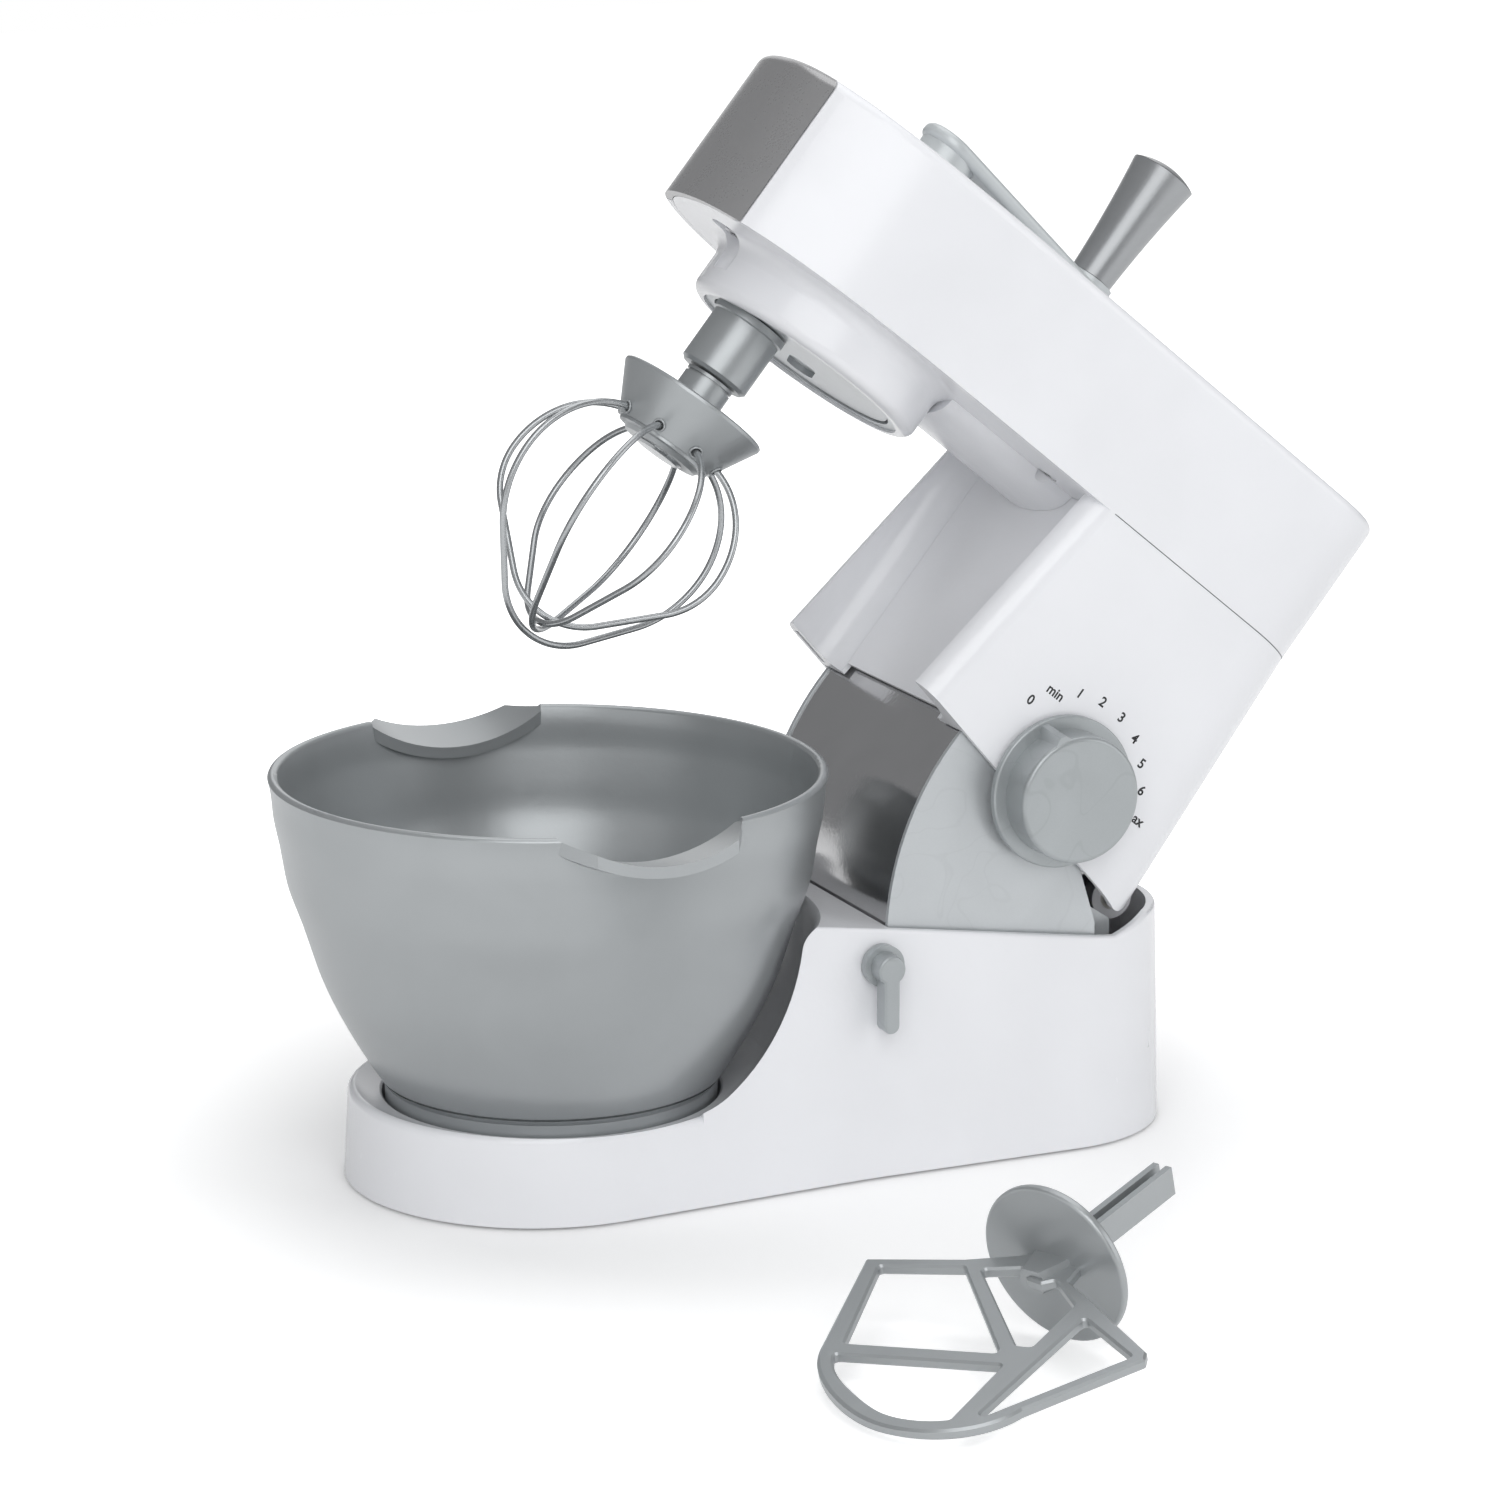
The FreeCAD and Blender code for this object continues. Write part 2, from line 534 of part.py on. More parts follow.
def pillar_shell():
    """Two cheeks and the rear wall in one moulding, with a deep recess in front."""
    outer = []
    hollow = []
    recess = []
    for z in (PILLAR_LOW, PART_Z):
        front = cheek_front(z)
        rear = pillar_rear(z)
        outer.append(rounded_plan(front, rear, HEAD_W, CHEEK_R, REAR_R, z))
        hollow.append(rounded_plan(PANEL_X + PANEL_T, rear - SHELL, HEAD_W - SHELL, 1.0, REAR_R - SHELL, z))
        recess.append(rounded_plan(-30, PANEL_X, BAR_Y, 1.0, RECESS_R, z + (z > 100)))
    shell = Part.makeLoft(outer, True, True).common(cheek_side())
    shell = shell.cut(Part.makeLoft(hollow, True, True)).cut(Part.makeLoft(recess, True, True))
    opening = box(PANEL_X - 3, PANEL_X + PANEL_T + 1, -PANEL_HALF, PANEL_HALF, 40, 170)
    swept = rod_y(SWEEP_R, -DRUM_W - 0.8, DRUM_W + 0.8, HINGE_X, HINGE_Z).common(box(0, 60, -60, 60, 40, 170))
    knuckle = box(98, 110, -NOTCH_Y, NOTCH_Y, 40, NOTCH_Z)
    shell = shell.cut(opening).cut(swept).cut(knuckle)
    dial_boss = rod_y(DIAL_BOSS_R, -DIAL_BOSS_Y, -HEAD_W + 0.5, DIAL_X, DIAL_Z)
    posts = [dial_boss, hinge_ear(), mirrored(hinge_ear())]
    for x, y in PILLAR_SCREWS:
        rib = box(x - 1.2, x + 1.2, abs(y), PILLAR_RIB_Y, PART_Z - 12, PART_Z - 0.1)
        posts.append(rod(BOSS_R, PART_Z - 12, PART_Z - 0.1, x, y))
        posts.append(rib if y > 0 else mirrored(rib))
    shell = fuse(shell, *posts)
    cutters = [rod(PILOT_R, PART_Z - 11, PART_Z + 1, x, y) for x, y in PILLAR_SCREWS]
    cutters += latch_pocket()
    cutters.append(rod_y(DIAL_POST_R + RUN, -70, -40, DIAL_X, DIAL_Z))
    cutters.append(rod_y(DIAL_SINK_R, -DIAL_SINK_Y, -40, DIAL_X, DIAL_Z))
    cutters.append(rod_y(3.6, -30, 30, HINGE_X, HINGE_Z))
    for cutter in cutters:
        shell = shell.cut(cutter)
    return shell


def pillar_front_panel():
    """White panel at the back of the recess, with flanges behind the cheeks."""
    half = PANEL_HALF - 0.15
    top = PART_Z - 0.1
    back = PANEL_X + PANEL_T + 0.05
    skin = box(PANEL_X, PANEL_X + PANEL_SKIN, -half, half, PANEL_LOW, top)
    core = box(PANEL_X, back + 1.2, -half, half, PANEL_THICK_Z, top)
    flange = box(back, back + 1.2, -half - 5, half + 5, PANEL_THICK_Z, top)
    return fuse(skin, core, flange)


def head_plan(inset, z):
    """Plan of the head at one height: superellipse nose, straight sides, round rear corners."""
    a = NOSE_START - NOSE_X - inset
    w = HEAD_W - inset
    rear = HEAD_REAR - inset
    r = REAR_R - inset
    d = r * (1 - math.sqrt(0.5))
    nose = []
    for i in range(NOSE_STEPS + 1):
        t = math.pi * (i / NOSE_STEPS - 0.5)
        along = max(math.cos(t), 0.0) ** (2 / NOSE_POWER)
        across = math.copysign(abs(math.sin(t)) ** (2 / NOSE_POWER), t)
        nose.append(V(NOSE_START - a * along, w * across, z))
    curve = Part.BSplineCurve()
    curve.interpolate(Points=nose, InitialTangent=V(-1, 0, 0), FinalTangent=V(1, 0, 0))
    far = [
        line(V(NOSE_START, w, z), V(rear - r, w, z)),
        arc(V(rear - r, w, z), V(rear - d, w - d, z), V(rear, w - r, z)),
    ]
    end = line(V(rear, w - r, z), V(rear, r - w, z))
    near = [mirrored(edge) for edge in reversed(far)]
    return Part.Wire(Part.__sortEdges__([curve.toShape()] + far + [end] + near))


def head_block(inset, z0, rounding):
    """Solid inside the head's outline, crowned across and rounded along its top edge."""
    block = Part.Face(head_plan(inset, z0)).extrude(V(0, 0, HEAD_TOP + 5 - z0))
    crown_r = (HEAD_W ** 2 + CROWN ** 2) / (2 * CROWN)
    crown = Part.makeCylinder(crown_r - inset, 300, V(-150, 0, HEAD_TOP - crown_r), V(1, 0, 0))
    block = block.common(crown)
    edges = [edge for edge in block.Edges if edge.BoundBox.ZMin > HEAD_TOP - inset - CROWN - 0.6]
    return block.makeFillet(rounding, edges)


def head_cover():
    outer = head_block(0, PART_Z, HEAD_ROUND)
    inner = head_block(SHELL, PART_Z - 1, HEAD_ROUND - SHELL)
    slice_off = box(-140, CAP_X, -60, 60, 140, 210)
    bulkhead = outer.common(box(CAP_X, CAP_X + 2.2, -60, 60, PART_Z + 3.3, 210))
    ceiling = HEAD_TOP - SHELL
    posts = [bulkhead, rod(11, ceiling - 4.7, ceiling + 1, DRIVE_X)]
    for x, y in HEAD_SCREWS:
        posts.append(rod(BOSS_R, PLATE_H + 0.1, ceiling + 0.6, x, y))
    cover = fuse(outer.cut(inner).cut(slice_off), *posts)
    cutters = [rod(8.0, 180, 210, DRIVE_X)]
    cutters += [rod(PILOT_R, PLATE_H - 1, PLATE_H + 16, x, y) for x, y in HEAD_SCREWS]
    slot = box(CAP_X - 1, CAP_X + 4, TAB_Y - 0.2, TAB_Y + 2.8, TAB_Z - 0.2, TAB_Z + 10.2)
    for cutter in cutters + [slot, mirrored(slot)]:
        cover = cover.cut(cutter)
    return cover


def nose_cap():
    """Front slice of the head as a separate cap, open below and clipped in by two tabs."""
    outer = head_block(0, PART_Z, HEAD_ROUND)
    inner = head_block(SHELL, PART_Z - 1, HEAD_ROUND - SHELL)
    cap = outer.cut(inner).common(box(-140, CAP_X - CAP_GAP, -60, 60, 140, 210))
    tab = box(CAP_X - 1.7, CAP_X + 4.4, TAB_Y, TAB_Y + 2.6, TAB_Z, TAB_Z + 10)
    return fuse(cap, tab, mirrored(tab))


def keel():
    """Rounded rib under the head from the chin back to the panel."""
    section = [(-KEEL_W, PART_Z + 0.5), (-KEEL_W + 1, 147.4), (-11.5, 142.6), (0, 141.3),
               (11.5, 142.6), (KEEL_W - 1, 147.4), (KEEL_W, PART_Z + 0.5)]
    points = [V(-32, y, z) for y, z in section]
    curve = Part.BSplineCurve()
    curve.interpolate(points)
    face = Part.Face(Part.Wire([curve.toShape(), line(points[-1], points[0])]))
    return face.extrude(V(PANEL_X - 0.15 + 32, 0, 0))


def chin():
    """Round collar under the head, open below, with a flare into the underside."""
    def p(r, z):
        return V(DRIVE_X + r, 0, z)
    edges = [
        line(p(CHIN_BORE, CHIN_Z), p(CHIN_R - 3.2, CHIN_Z)),
        arc(p(CHIN_R - 3.2, CHIN_Z), p(CHIN_R - 0.94, CHIN_Z + 0.94), p(CHIN_R, CHIN_Z + 3.2)),
        line(p(CHIN_R, CHIN_Z + 3.2), p(CHIN_R, PART_Z - 5)),
        arc(p(CHIN_R, PART_Z - 5), p(CHIN_R + 1.46, PART_Z - 1.46), p(CHIN_R + 5, PART_Z)),
        line(p(CHIN_R + 5, PART_Z), p(CHIN_R + 5, PART_Z + 1)),
        line(p(CHIN_R + 5, PART_Z + 1), p(CHIN_BORE, PART_Z + 1)),
        line(p(CHIN_BORE, PART_Z + 1), p(CHIN_BORE, CHIN_Z)),
    ]
    return turned_wire(edges, DRIVE_X)


def head_base():
    """Plate that closes the head below, with chin, keel and bearing boss."""
    plate = Part.Face(head_plan(SHELL + 0.2, PART_Z)).extrude(V(0, 0, PLATE_H - PART_Z))
    solid = fuse(plate, keel(), chin(), rod(9.5, PART_Z, PLATE_H + 4.5, DRIVE_X))
    cutters = [
        rod(CHIN_BORE, CHIN_Z - 1, POCKET_TOP, DRIVE_X),
        rod(6.6, 140, 170, DRIVE_X),
    ]
    for x, y in HEAD_SCREWS:
        cutters.append(rod(CLEAR_R, 140, 160, x, y))
        cutters.append(rod(SINK_R, 140, PART_Z + 1.9, x, y))
    cutters += [rod(CLEAR_R, 140, 160, x, y) for x, y in PILLAR_SCREWS]
    nose_x, nose_y = HEAD_SCREWS[0]
    cutters.append(fuse(rod(4.2, 140, PART_Z + 1.4, nose_x - 3, nose_y),
                        rod(4.2, 140, PART_Z + 1.4, nose_x + 3, nose_y),
                        box(nose_x - 3, nose_x + 3, -4.2, 4.2, 140, PART_Z + 1.4)))
    for cutter in cutters:
        solid = solid.cut(cutter)
    return solid


def involute(angle):
    return math.tan(angle) - angle


def gear_outline(teeth, inner_r, outer_r, width, z, x):
    """Closed outline of a gear whose teeth are width wide at the pitch circle."""
    pitch_r = teeth * MODULE / 2
    base_r = pitch_r * math.cos(math.radians(PRESSURE))
    at_pitch = width / (2 * pitch_r) + involute(math.radians(PRESSURE))
    half = []
    for r in (inner_r, max(base_r, inner_r), pitch_r, outer_r):
        angle = math.acos(min(1.0, base_r / r))
        half.append((r, at_pitch - involute(angle)))
    points = []
    for tooth in range(teeth):
        centre = math.pi + 2 * math.pi * tooth / teeth
        for r, a in half:
            points.append((r, centre - a))
        for r, a in reversed(half):
            points.append((r, centre + a))
    plan = []
    for r, a in points:
        corner = V(x + r * math.cos(a), r * math.sin(a), z)
        if not plan or corner.distanceToPoint(plan[-1]) > 1e-4:
            plan.append(corner)
    return closed(plan)


def ring_gear():
    pitch = RING_TEETH * MODULE / 2
    width = math.pi * MODULE / 2 + BACKLASH / 2
    hole = gear_outline(RING_TEETH, pitch - ADDENDUM, pitch + DEDENDUM, width, GEAR_Z, DRIVE_X)
    blank = rod(CHIN_BORE - 0.05, GEAR_Z, GEAR_Z + GEAR_H, DRIVE_X)
    bore = rod(pitch - ADDENDUM, GEAR_Z - 1, GEAR_Z + GEAR_H + 1, DRIVE_X)
    return blank.cut(Part.Face(hole).extrude(V(0, 0, GEAR_H))).cut(bore)


def planet_gear():
    pitch = PLANET_TEETH * MODULE / 2
    width = math.pi * MODULE / 2 - BACKLASH / 2
    outline = gear_outline(PLANET_TEETH, pitch - DEDENDUM, pitch + ADDENDUM, width, GEAR_Z, WHISK_X)
    wheel = Part.Face(outline).extrude(V(0, 0, GEAR_H))
    return wheel.cut(rod(SPINDLE_R + 0.02, GEAR_Z - 1, GEAR_Z + GEAR_H + 1, WHISK_X))


def carrier_plate():
    """Disc on the crank shaft that carries the whisk spindle round, with a long pocket."""
    disc = rod(CARRIER_R, CARRIER_Z, CARRIER_Z + 2.5, DRIVE_X)
    hub = rod(9.0, CARRIER_Z, CARRIER_Z + 7.0, DRIVE_X)
    eye = rod(8.4, CARRIER_Z, CARRIER_Z + 5.0, WHISK_X)
    low, high = CARRIER_Z - 1, CARRIER_Z + 1.6
    half = POCKET_LONG / 2
    pocket = fuse(rod(POCKET_R, low, high, -half), rod(POCKET_R, low, high, half),
                  box(-half, half, -POCKET_R, POCKET_R, low, high))
    pocket.rotate(V(0, 0, 0), V(0, 0, 1), POCKET_TURN)
    pocket.translate(V(DRIVE_X + POCKET_X, POCKET_Y, 0))
    solid = fuse(disc, hub, eye).cut(pocket)
    solid = solid.cut(rod(SHAFT_R + 0.02, CARRIER_Z + 2.0, CARRIER_Z + 8, DRIVE_X))
    return solid.cut(rod(6.0, CARRIER_Z - 1, CARRIER_Z + 6, WHISK_X))


def flanged_bush(r_in, r_out, z0, z1, flange_r, flange_z0, flange_z1, x):
    sleeve = rod(r_out, z0, z1, x)
    flange = rod(flange_r, flange_z0, flange_z1, x)
    return fuse(sleeve, flange).cut(rod(r_in, min(z0, flange_z0) - 1, max(z1, flange_z1) + 1, x))


def crank_arm():
    """Tapered plate that slopes down to the knob's seat, with a boss over the shaft."""
    far = CRANK_REACH
    sine = (CRANK_R - CRANK_TIP_R) / far
    cosine = math.sqrt(1 - sine * sine)
    def tangent(x, r, side):
        return V(x + r * sine, side * r * cosine, 0)
    edges = [
        arc(tangent(0, CRANK_R, 1), V(-CRANK_R, 0, 0), tangent(0, CRANK_R, -1)),
        line(tangent(0, CRANK_R, -1), tangent(far, CRANK_TIP_R, -1)),
        arc(tangent(far, CRANK_TIP_R, -1), V(far + CRANK_TIP_R, 0, 0), tangent(far, CRANK_TIP_R, 1)),
        line(tangent(far, CRANK_TIP_R, 1), tangent(0, CRANK_R, 1)),
    ]
    plate = Part.Face(Part.Wire(edges)).extrude(V(0, 0, -CRANK_T))
    rims = [edge for edge in plate.Edges if edge.BoundBox.ZLength < 1e-6]
    plate = plate.makeFillet(CRANK_EDGE, rims)
    plate.rotate(V(0, 0, 0), V(0, 1, 0), math.degrees(math.atan2(CRANK_FALL, far)))
    plate.translate(V(DRIVE_X, 0, CRANK_TOP))
    boss = rod(9.0, HEAD_TOP + 0.4, CRANK_TOP - 2.0, DRIVE_X)
    seat = rod(CRANK_SEAT_R, CRANK_TOP - CRANK_FALL - 1.5, KNOB_Z - 0.3, KNOB_X)
    arm = fuse(plate, boss, seat)
    cutters = [
        rod(SHAFT_R + 0.02, 190, SHAFT_TOP + 0.02, DRIVE_X),
        rod(1.5, 190, 220, DRIVE_X),
        rod(5.5, SHAFT_TOP + 1.6, 220, DRIVE_X),
        rod(PIN_R + 0.02, 190, 220, KNOB_X),
        rod(3.6, 190, KNOB_Z - 0.3 - CRANK_T + 1.6, KNOB_X),
    ]
    for cutter in cutters:
        arm = arm.cut(cutter)
    return arm


def crank_shaft():
    shaft = rod(SHAFT_R, CARRIER_Z + 2.0, SHAFT_TOP, DRIVE_X)
    return shaft.cut(rod(PILOT_R, SHAFT_TOP - 9, SHAFT_TOP + 1, DRIVE_X))


def crank_knob():
    """Trumpet shaped grip, bored for the pin and open above for its washer and clip."""
    middle = (KNOB_Z + KNOB_TOP) / 2
    edges = [
        line(V(KNOB_X, 0, KNOB_Z), V(KNOB_X + KNOB_R, 0, KNOB_Z)),
        arc(V(KNOB_X + KNOB_R, 0, KNOB_Z), V(KNOB_X + KNOB_WAIST, 0, middle),
            V(KNOB_X + KNOB_TOP_R, 0, KNOB_TOP)),
        line(V(KNOB_X + KNOB_TOP_R, 0, KNOB_TOP), V(KNOB_X, 0, KNOB_TOP)),
        line(V(KNOB_X, 0, KNOB_TOP), V(KNOB_X, 0, KNOB_Z)),
    ]
    knob = turned_wire(edges, KNOB_X)
    knob = knob.cut(rod(PIN_R + RUN, KNOB_Z - 1, KNOB_TOP + 1, KNOB_X))
    return knob.cut(rod(5.5, KNOB_CELL, KNOB_TOP + 1, KNOB_X))


def knob_cap():
    """Domed cap with a spigot in the knob's cell."""
    seat = KNOB_TOP + 0.1
    dome_r = (KNOB_TOP_R ** 2 + KNOB_DOME ** 2) / (2 * KNOB_DOME)
    ball = Part.makeSphere(dome_r, V(KNOB_X, 0, seat + KNOB_DOME - dome_r))
    dome = rod(KNOB_TOP_R, seat, seat + KNOB_DOME + 1, KNOB_X).common(ball)
    return fuse(dome, rod(5.4, KNOB_TOP - 2, seat + 0.5, KNOB_X))


def knob_pin():
    """Pin through the arm's end, headed below, with a groove for the clip on top."""
    low = KNOB_Z - 0.3 - CRANK_T
    pin = fuse(rod(PIN_R, low, KNOB_CELL + 3.0, KNOB_X), rod(3.5, low + 0.3, low + 1.5, KNOB_X))
    return pin.cut(tube(1.5, 3.0, KNOB_CELL + 1.0, KNOB_CELL + 1.8, KNOB_X))


def clip(r_in, r_out, z0, z1, x, y=0.0):
    """Open retaining ring."""
    mouth = r_in * 0.7
    return tube(r_in, r_out, z0, z1, x, y).cut(box(x, x + r_out + 1, y - mouth, y + mouth, z0 - 1, z1 + 1))


def whisk_socket():
    """Socket below the carrier with a square bore, and the spindle that carries the gear."""
    body = turned_part([(0, SOCKET_LOW), (SOCKET_R - 1.0, SOCKET_LOW), (SOCKET_R, SOCKET_LOW + 1.0),
                        (SOCKET_R, SOCKET_TOP - 2.4), (SOCKET_R + 0.7, SOCKET_TOP - 2.0),
                        (SOCKET_R + 0.7, SOCKET_TOP), (SPINDLE_R, SOCKET_TOP), (SPINDLE_R, SPINDLE_TOP),
                        (0, SPINDLE_TOP)], WHISK_X)
    half = SHANK_HALF + RUN
    bore = box(WHISK_X - half, WHISK_X + half, -half, half, SOCKET_LOW - 1, SHANK_TOP + 0.8)
    groove = tube(SPINDLE_R - 0.5, SPINDLE_R + 1, GEAR_Z + GEAR_H + 0.1, GEAR_Z + GEAR_H + 0.9, WHISK_X)
    return body.cut(bore).cut(groove)


def whisk_shank():
    """Square shank and grooved collar above the cone."""
    square = box(WHISK_X - SHANK_HALF, WHISK_X + SHANK_HALF, -SHANK_HALF, SHANK_HALF, CONE_TOP, SHANK_TOP)
    low = CONE_TOP - 1.0
    top = SOCKET_LOW - 0.5
    collar = rod(COLLAR_R, low, top, WHISK_X)
    collar = collar.cut(tube(COLLAR_R - 0.7, COLLAR_R + 1, top - 1.6, top - 0.9, WHISK_X))
    return fuse(square, collar)


def turned_arc(x, z, r, a0, a1):
    """Arc in the XZ plane about a centre, between two angles in degrees."""
    points = []
    for degrees in (a0, (a0 + a1) / 2, a1):
        a = math.radians(degrees)
        points.append(V(x + r * math.cos(a), 0, z + r * math.sin(a)))
    return points


def wire_path(loop):
    """Half loop from the tip to the cone: tight tip, straight flank, round side, shoulder, neck."""
    tip = CAGE_TIP_Z + NEST * loop
    degrees = TIP_TURN - TIP_TURN_STEP * loop
    s, c = math.sin(math.radians(degrees)), math.cos(math.radians(degrees))
    across = CAGE_R - TIP_R * s
    up = CAGE_WIDE_Z - tip - TIP_R * (1 - c)
    side_r = (up * c - across * s) / (1 - s)
    bend = math.radians(SHOULDER_TURN)
    bend_x = CAGE_R - SHOULDER_R * (1 - math.cos(bend))
    bend_z = CAGE_WIDE_Z + SHOULDER_R * math.sin(bend)
    neck_r = (WIRE_Z - bend_z) / (1 - math.sin(bend))
    last = math.acos(math.cos(bend) - (bend_x - WIRE_END_R) / neck_r)
    bottom = turned_arc(0, tip + TIP_R, TIP_R, -90, degrees - 90)
    side = turned_arc(CAGE_R - side_r, CAGE_WIDE_Z, side_r, degrees - 90, 0)
    shoulder = turned_arc(CAGE_R - SHOULDER_R, CAGE_WIDE_Z, SHOULDER_R, 0, SHOULDER_TURN)
    neck = turned_arc(bend_x - neck_r * math.cos(bend), bend_z - neck_r * math.sin(bend), neck_r,
                      SHOULDER_TURN, math.degrees(last))
    return [arc(*bottom), line(bottom[2], side[0]), arc(*side), arc(*shoulder), arc(*neck)]


def wire_loop(loop, r):
    """One loop of the whisk as a bent round wire."""
    half = wire_path(loop)
    other = []
    for edge in half:
        other.append(edge.mirror(V(0, 0, 0), V(1, 0, 0)))
    path = Part.Wire(Part.__sortEdges__(half + other))
    start = path.OrderedVertexes[0].Point
    edge = path.OrderedEdges[0]
    direction = edge.tangentAt(edge.FirstParameter)
    section = Part.Wire(Part.makeCircle(r, start, direction))
    pipe = path.makePipeShell([section], True, True)
    pipe.rotate(V(0, 0, 0), V(0, 0, 1), WHISK_TURN + 180.0 * loop / LOOPS)
    pipe.translate(V(WHISK_X, 0, 0))
    return pipe


def tunnels():
    """Clearance holes for the wires."""
    return [wire_loop(loop, WIRE_R + 0.06) for loop in range(LOOPS)]


def whisk_cone():
    cone = turned_part([
        (0, CONE_LOW),
        (CONE_LOW_R, CONE_LOW),
        (CONE_R, CONE_TOP - 1.2),
        (CONE_R, CONE_TOP - 0.4),
        (CONE_R - 0.5, CONE_TOP),
        (CONE_R - 1.6, CONE_TOP),
        (CONE_R - 3.0, CONE_TOP - 1.0),
        (0, CONE_TOP - 1.0),
    ], WHISK_X)
    for tunnel in tunnels():
        cone = cone.cut(tunnel)
    for end in range(2 * LOOPS):
        a = math.radians(WHISK_TURN + 180.0 * end / LOOPS)
        mouth = V(WHISK_X + MOUTH_REACH * math.cos(a), MOUTH_REACH * math.sin(a), MOUTH_Z)
        cone = cone.cut(Part.makeSphere(MOUTH_R, mouth))
    return cone


def whisk_disc():
    disc = turned_part([(0, CONE_LOW - 2.4), (DISC_R - 3.0, CONE_LOW - 2.4), (DISC_R - 2.0, CONE_LOW - 1.2),
                        (DISC_R, CONE_LOW - 0.9), (DISC_R, CONE_LOW), (0, CONE_LOW)], WHISK_X)
    for tunnel in tunnels():
        disc = disc.cut(tunnel)
    return disc


def whisk_plug():
    low = CONE_LOW - 2.4
    return turned_part([(0, low - 1.3), (PLUG_R - 0.8, low - 1.0), (PLUG_R, low - 0.3), (PLUG_R, low),
                        (0, low)], WHISK_X)


def dial_pointer():
    """Wedge that stands out of the cap's side and marks the chosen speed."""
    wires = []
    for y, apex in ((-DIAL_Y - DIAL_FLANGE + 0.5, DIAL_R - 0.7), (-DIAL_FACE + 0.4, DIAL_R - 2.3)):
        corners = []
        for r, turn in ((DIAL_CAP_R - 1.0, -12.0), (apex, -2.5), (apex, 2.5), (DIAL_CAP_R - 1.0, 12.0)):
            a = math.radians(turn - DIAL_ZERO)
            corners.append(V(DIAL_X + r * math.sin(a), y, DIAL_Z + r * math.cos(a)))
        wires.append(closed(corners))
    return Part.makeLoft(wires, True, True)


def speed_dial():
    """Hollow knob with a flange, a plain face and a pointer, on a post."""
    x, z = DIAL_X, DIAL_Z
    flange = rod_y(DIAL_R, -DIAL_Y - DIAL_FLANGE, -DIAL_Y, x, z)
    flange = flange.makeFillet(0.7, [edge for edge in flange.Edges if edge.BoundBox.YMax < -DIAL_Y - 1])
    cap = rod_y(DIAL_CAP_R, -DIAL_FACE, -DIAL_Y - 1, x, z)
    cap = cap.makeFillet(1.4, [edge for edge in cap.Edges if edge.BoundBox.YMax < -DIAL_FACE + 1])
    knob = fuse(flange, cap, dial_pointer())
    knob = knob.cut(rod_y(DIAL_CAP_R - 2.4, -DIAL_FACE + 2.2, -DIAL_Y + 1, x, z))
    post = rod_y(DIAL_POST_R, -DIAL_FACE + 1, -DIAL_SINK_Y - 0.05, x, z)
    knob = fuse(knob, post)
    return knob.cut(rod_y(1.2, -DIAL_FACE + 4, -40, x, z))


def dial_washer():
    return tube_y(1.5, 6.2, -DIAL_SINK_Y + 0.05, -DIAL_SINK_Y + 0.5, DIAL_X, DIAL_Z)


def dial_screw():
    seat = -DIAL_SINK_Y + 0.52
    body = fuse(rod_y(1.15, seat - 10, seat, DIAL_X, DIAL_Z), rod_y(2.9, seat, seat + 1.2, DIAL_X, DIAL_Z))
    slot = box(DIAL_X - 2.2, DIAL_X + 2.2, seat + 0.7, seat + 2, DIAL_Z - 0.35, DIAL_Z + 0.35)
    return body.cut(slot)


def dial_click_spring():
    """Leaf on the cheek under the flange; its nose stays clear of the dial."""
    x = DIAL_X + 15.0
    leaf = box(x - 2.5, x + 2.5, -HEAD_W - 0.5, -HEAD_W - 0.05, DIAL_Z - 8, DIAL_Z + 8)
    nose = Part.makeCylinder(0.9, 5, V(x - 2.5, -HEAD_W - 0.1, DIAL_Z), V(1, 0, 0))
    keep = box(x - 3, x + 3, -DIAL_Y + 0.2, -HEAD_W - 0.05, DIAL_Z - 9, DIAL_Z + 9)
    return fuse(leaf, nose).common(keep)


def lift_lever():
    """Short lever with a round flange and a boss over the shaft."""
    x, z = LEVER_X, LEVER_Z
    half = LEVER_W / 2
    flange = rod_y(6.0, -51.5, -48.6, x, z)
    boss = cone_y(4.4, 4.1, -51.0, -56.5, x, z)
    arm = box(x - half, x + half, -56.5, -51.5, LEVER_LOW + half, z)
    end = rod_y(half, -56.5, -51.5, x, LEVER_LOW + half)
    lever = fuse(flange, boss, arm, end)
    rims = [edge for edge in lever.Edges if edge.BoundBox.YMax < -56.4]
    lever = lever.makeFillet(0.8, rims)
    return lever.cut(rod_y(LEVER_SHAFT_R + 0.02, -55.0, -40, x, z))


def lever_shaft():
    shaft = rod_y(LEVER_SHAFT_R, -54.9, LATCH_Y1 + 0.3, LEVER_X, LEVER_Z)
    return shaft.cut(tube_y(LEVER_SHAFT_R - 0.5, LEVER_SHAFT_R + 1, -44.2, -43.4, LEVER_X, LEVER_Z))


def lever_clip():
    ring = tube_y(LEVER_SHAFT_R - 0.48, 3.8, -44.15, -43.45, LEVER_X, LEVER_Z)
    return ring.cut(box(LEVER_X - 1.4, LEVER_X + 1.4, -46, -42, LEVER_Z - 6, LEVER_Z))


def lever_bush():
    sleeve = rod_y(4.5, -48.4, -44.4, LEVER_X, LEVER_Z)
    flange = rod_y(5.2, -45.2, -44.4, LEVER_X, LEVER_Z)
    return fuse(sleeve, flange).cut(rod_y(LEVER_SHAFT_R + RUN, -60, -40, LEVER_X, LEVER_Z))


